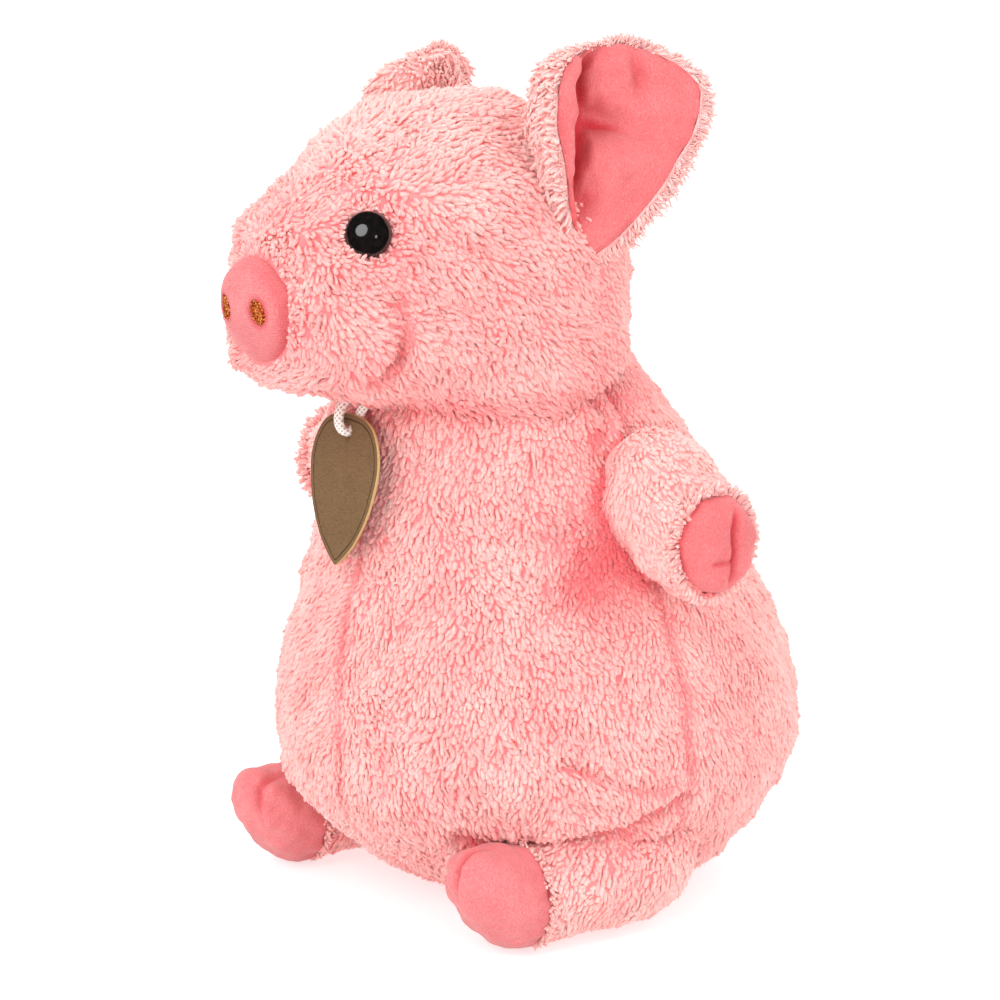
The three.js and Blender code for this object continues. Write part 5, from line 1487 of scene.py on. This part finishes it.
def tag_mesh():
    p = np.array([[x, z] for z, x in TAGP] + [[-x, z] for z, x in TAGP[-2:0:-1]])
    # a smooth closed outline through the points
    n = len(p)
    out = []
    for i in range(n):
        a, b, c, d = p[i - 1], p[i], p[(i + 1) % n], p[(i + 2) % n]
        for t in np.linspace(0, 1, 8, endpoint=False):
            out.append(0.5 * ((2 * b) + (c - a) * t + (2 * a - 5 * b + 4 * c - d) * t * t + (3 * b - a - 3 * c + d) * t**3))
    O = np.array(out)
    seg = np.concatenate([[0], np.cumsum(np.linalg.norm(np.diff(np.vstack([O, O[:1]]), axis=0), axis=1))])
    m = 240
    s = np.linspace(0, seg[-1], m, endpoint=False)
    O = np.stack([np.interp(s, seg, np.append(O[:, k], O[0, k])) for k in range(2)], -1)
    # inwards: towards a short spine, so that the inset lines never cross in the point
    nin = unit(np.stack([0 * O[:, 0], np.clip(O[:, 1], 104, 122)], -1) - O)
    H = np.array([0, HOLE_Z])
    ang = np.arctan2(O[:, 1] - H[1], O[:, 0] - H[0])
    ring = H + HOLE_R * np.stack([np.cos(ang), np.sin(ang)], -1)
    # rows over the front face: outline, rounded edge, border line pressed in, then on towards the hole
    rows = []  # (x z, height below the face, u, v)
    inset = lambda d: O + nin * d
    core = inset(3.0)
    for d, dep, u, v in ((0.0, 0.36, 1, 0), (0.02, 0.14, 1, 0), (0.16, 0.03, 0.2, 0), (0.4, 0.0, 0, 0), (1.05, 0.0, 0, 0), (1.22, 0.0, 0, 0.0), (1.32, 0.13, 0, 1), (1.55, 0.15, 0, 1), (1.64, 0.0, 0, 0.0), (1.85, 0, 0, 0), (2.4, 0, 0, 0)):
        rows.append((inset(d), dep, u, v))
    for k in np.linspace(0.05, 1, 15):
        w = inset(2.4) * (1 - k) + ring * k
        rows.append((w, 0.0 if k < 0.99 else 0.05, 0.0, 0.0))
    rows.append((H + (HOLE_R - 0.05) * np.stack([np.cos(ang), np.sin(ang)], -1), 0.22, 1, 0))
    front = [np.concatenate([r, np.full((m, 1), d)], 1) for r, d, _, _ in rows]
    X = []
    U = []
    for (r, dep, u, v) in rows:
        X.append(np.stack([r[:, 0], np.full(m, TAG_Y - TAG_T / 2 + dep), r[:, 1]], -1))
        U.append(np.tile([u, v], (m, 1)))
    for (r, dep, u, v) in rows[::-1]:
        back = dep if v < 0.5 else 0.0
        X.append(np.stack([r[:, 0], np.full(m, TAG_Y + TAG_T / 2 - back), r[:, 1]], -1))
        U.append(np.tile([u, 0.0], (m, 1)))
    nr = len(X)
    V, Uv = np.array(X).reshape(-1, 3), np.array(U).reshape(-1, 2).astype(float)
    Q = grid_quads(nr, m)
    j = np.arange(m)
    k = (j + 1) % m
    last = (nr - 1) * m
    Q = np.concatenate([Q, np.stack([last + j, last + k, k, j], -1)])
    return V, Q, Uv


V, Q, Uv = tag_mesh()
N = normals(V, Q)
front = (V[:, 1] < TAG_Y - TAG_T / 2 + 1e-3)
if N[front, 1].sum() > 0:
    Q = Q[:, ::-1]
# a slight bow, as such a card has
V[:, 1] += 0.25 * ((V[:, 2] - 115) / 20) ** 2 - 0.12
V = lean(V)
tag = make("kraft_tag", V, [Q], Uv, CARD, layer="card")
tag.data.polygons.foreach_set("use_smooth", np.ones(len(tag.data.polygons), bool))
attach(tag, "tag")
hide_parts("hang_tag")

# the cord comes out of the neck seam, drops in front of the card, through the hole and up again behind
ctrl = np.array([[-1.6, -55.4, 141.6], [-1.6, -58.2, 140.9], [-1.5, -61.2, 140.0], [-1.35, -64.0, 138.7], [-1.1, -65.9, 136.4], [-0.75, -66.6, 134.0], [-0.35, -66.1, 132.0], [0.0, -64.0, 130.9], [0.3, -62.5, 131.5], [0.8, -61.8, 133.2], [1.5, -61.4, 135.4], [2.2, -60.4, 137.6], [2.7, -58.6, 139.4], [2.9, -56.0, 140.8]])
d = np.concatenate([[0], np.cumsum(np.linalg.norm(np.diff(ctrl, axis=0), axis=1))])
s = np.linspace(0, d[-1], 36)
CP = np.stack([pchip(d, ctrl[:, k])(s) for k in range(3)], -1)
cu = bpy.data.curves.new("satin_cord", "CURVE")
cu.dimensions = "3D"
sp = cu.splines.new("POLY")
sp.points.add(len(CP) - 1)
for pnt, c in zip(sp.points, put(CP)):
    pnt.co = (*c, 1)
sp.use_smooth = True
cu.bevel_depth = 0.0013
cu.bevel_resolution = 5
cu.use_fill_caps = True
cu.materials.append(BRAID)
cord = bpy.data.objects.new("satin_cord", cu)
scene.collection.objects.link(cord)
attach(cord, "tag")
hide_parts("tag_cord")
tuple(put(CP[0]))

# ---------------------------------------------------------------- care label: a blank satin tab in the back seam
a = -0.24
n_out, n_side = np.array([math.sin(a), math.cos(a), 0]), np.array([math.cos(a), -math.sin(a), 0])
rows = []
for w in np.linspace(-8, 8, 22):
    for h in np.linspace(0, 1, 30):
        z = 30 - 18 * h
        bow = 0.5 * math.sin(h * math.pi) + 0.25 * math.sin(w * 0.5) * h
        rows.append(n_out * (70.4 - (30 - z) * 0.3 + bow) + n_side * w + np.array([0, -1, z]))
V = np.array(rows)
Q = grid_quads(22, 30, closed=False)
N = normals(V, Q)
if (N @ n_out).sum() < 0:
    Q, N = Q[:, ::-1], -N
V, Q = shell(V, Q, N, 0.25)
o = make("satin_label", V, [Q], mat=SATIN)
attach(o, "torso")
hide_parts("care_label")

# ---------------------------------------------------------------- the fibre inside, 4 to 5 mm under the skins
def wad(name, V, Q, centre, body, mat=FIBRE):
    Q, N = outward(V, Q, np.asarray(centre, float))
    V = V + N * (0.35 * LUMP_B(V + 70) - 0.25)[:, None]
    o = make("fibre_" + name, V, [Q], mat=mat)
    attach(o, body)
    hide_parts(name)


def capped(rows):
    """Rings closed at both ends by a shrunken copy of the end ring."""
    a, b = rows[0], rows[-1]
    rows = [a.mean(0) + (a - a.mean(0)) * 0.02] + list(rows) + [b.mean(0) + (b - b.mean(0)) * 0.02]
    V = np.array(rows)
    return V.reshape(-1, 3), grid_quads(len(rows), V.shape[1])


ang = (np.arange(96) / 96) * 2 * np.pi
rows = []
for z in np.concatenate([np.linspace(3.6, 131, 74), 119.5 + 41.4 * np.sin(np.linspace(math.asin(11.5 / 41.4), 1.5, 22))[1:]]):
    r = torso_r(z) - 5.4 - 6 * smooth(12, 3, z) if z < 131.01 else math.sqrt(max(41.4**2 - (z - 119.5) ** 2, 0.01))
    c = torso_c(z) if z < 131.01 else torso_c(131.0) + (-15.1 - torso_c(131.0)) * smooth(131, 140, z)
    rows.append(np.stack([r * np.cos(ang), c + r * np.sin(ang), np.full(96, z)], -1))
V, Q = capped(rows)
for _ in range(22):
    # room for the arms' and legs' own fibre
    k = in_arm(V, 1.0) | ((V[:, 1] > -70) & in_leg(V, 1.0))
    V[k, :2] = V[k, :2] * 0.96 + np.array([0, 0]) * 0.04
wad("torso_filling", V, Q, [0, 0, 80], "torso")

V, Q = head_sheet()
mid_head = np.array([0, -40, 165.0])
V = mid_head + (V - mid_head) * 0.89
for side in (1, -1):
    e = V - eye_at(side)
    h = e @ (EYE_DIR * [side, 1, 1])
    r = np.linalg.norm(e - h[:, None] * (EYE_DIR * [side, 1, 1]), axis=1)
    V = V - 6.5 * (np.exp(-((r / 8) ** 4)) * (np.abs(h) < 14))[:, None] * (EYE_DIR * [side, 1, 1])
r = np.hypot(V[:, 0] - NECK[0], V[:, 1] - NECK[1])
V[:, 2] = np.maximum(V[:, 2], 138.6 + 0.43 * np.maximum(0, V[:, 1] + 27))
V[:, 2] = np.where(r < 48.1, np.maximum(V[:, 2], NECK[2] + np.sqrt(np.maximum(48.2**2 - r * r, 0))), V[:, 2])
wad("head_filling", V, Q, mid_head + [0, 0, 15], "head")

th = np.linspace(0.002, math.radians(31), 26)
prof = [[43.4 * math.cos(a), 43.4 * math.sin(a)] for a in th] + [[45.7 * math.cos(a), 45.7 * math.sin(a)] for a in th[::-1]]
V, Q = turned(NECK, [0, -0.139, 0.99], prof, 72)
Q, N = outward(V, Q, NECK + np.array([0, -6.2, 44.5]))
o = make("fibre_neck_filling", V, [Q], mat=FIBRE)
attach(o, "neck")
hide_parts("neck_filling")

ang = (np.arange(48) / 48) * 2 * np.pi
for side, name in ((1, "left"), (-1, "right")):
    flip = np.array([side, 1.0, 1.0])
    rows = []
    for x in np.linspace(49.5, 76.2, 22):
        y, z, a, b = (f(x) for f in arm_at)
        a, b = a - 4.6, b - 4.6
        rows.append(np.stack([np.full(48, x), y + a * np.cos(ang), z + b * np.sin(ang)], -1) * flip)
    V, Q = capped(rows)
    wad(f"arm_{name}_filling", V, Q, [62 * side, -7, 112], f"arm_{name}")
    rows = []
    for y in np.linspace(-6, -43.6, 26):
        x, z, a, b = (f(y) for f in leg_at)
        a, b = a - 4.6, b - 4.6
        rows.append(np.stack([x + a * np.cos(ang), np.full(48, y), z + b * np.sin(ang)], -1) * flip)
    V, Q = capped(rows)
    wad(f"leg_{name}_filling", V, Q, [49 * side, -26, 17], f"leg_{name}")

# the pellet bag and the eyes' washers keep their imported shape, with a finished material
for name, mat in (("pellet_bag", PELLETS), ("eye_washer_left", WASHER), ("eye_washer_right", WASHER)):
    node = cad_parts[name]
    node.data.materials.clear()
    node.data.materials.append(mat)

# ---------------------------------------------------------------- floor
fm = Mat("floor_paper", rough=0.9)
fm.set(Specular_IOR_Level=0.1, Emission_Color=(1.0, 0.985, 0.985), Emission_Strength=0.62)
f = fm.noise(fm.place(0.02), 1.0, 2.0)
fm.colour(fm.ramp(f, [(0.3, (0.52, 0.515, 0.515)), (0.7, (0.55, 0.547, 0.547))]))
me = bpy.data.meshes.new("floor")
g = 6.0
me.from_pydata([(-g, -g, 0), (g, -g, 0), (g, g, 0), (-g, g, 0)], [], [(0, 1, 2, 3)])
floor = bpy.data.objects.new("floor", me)
scene.collection.objects.link(floor)
floor.visible_glossy = False
me.materials.append(fm.m)
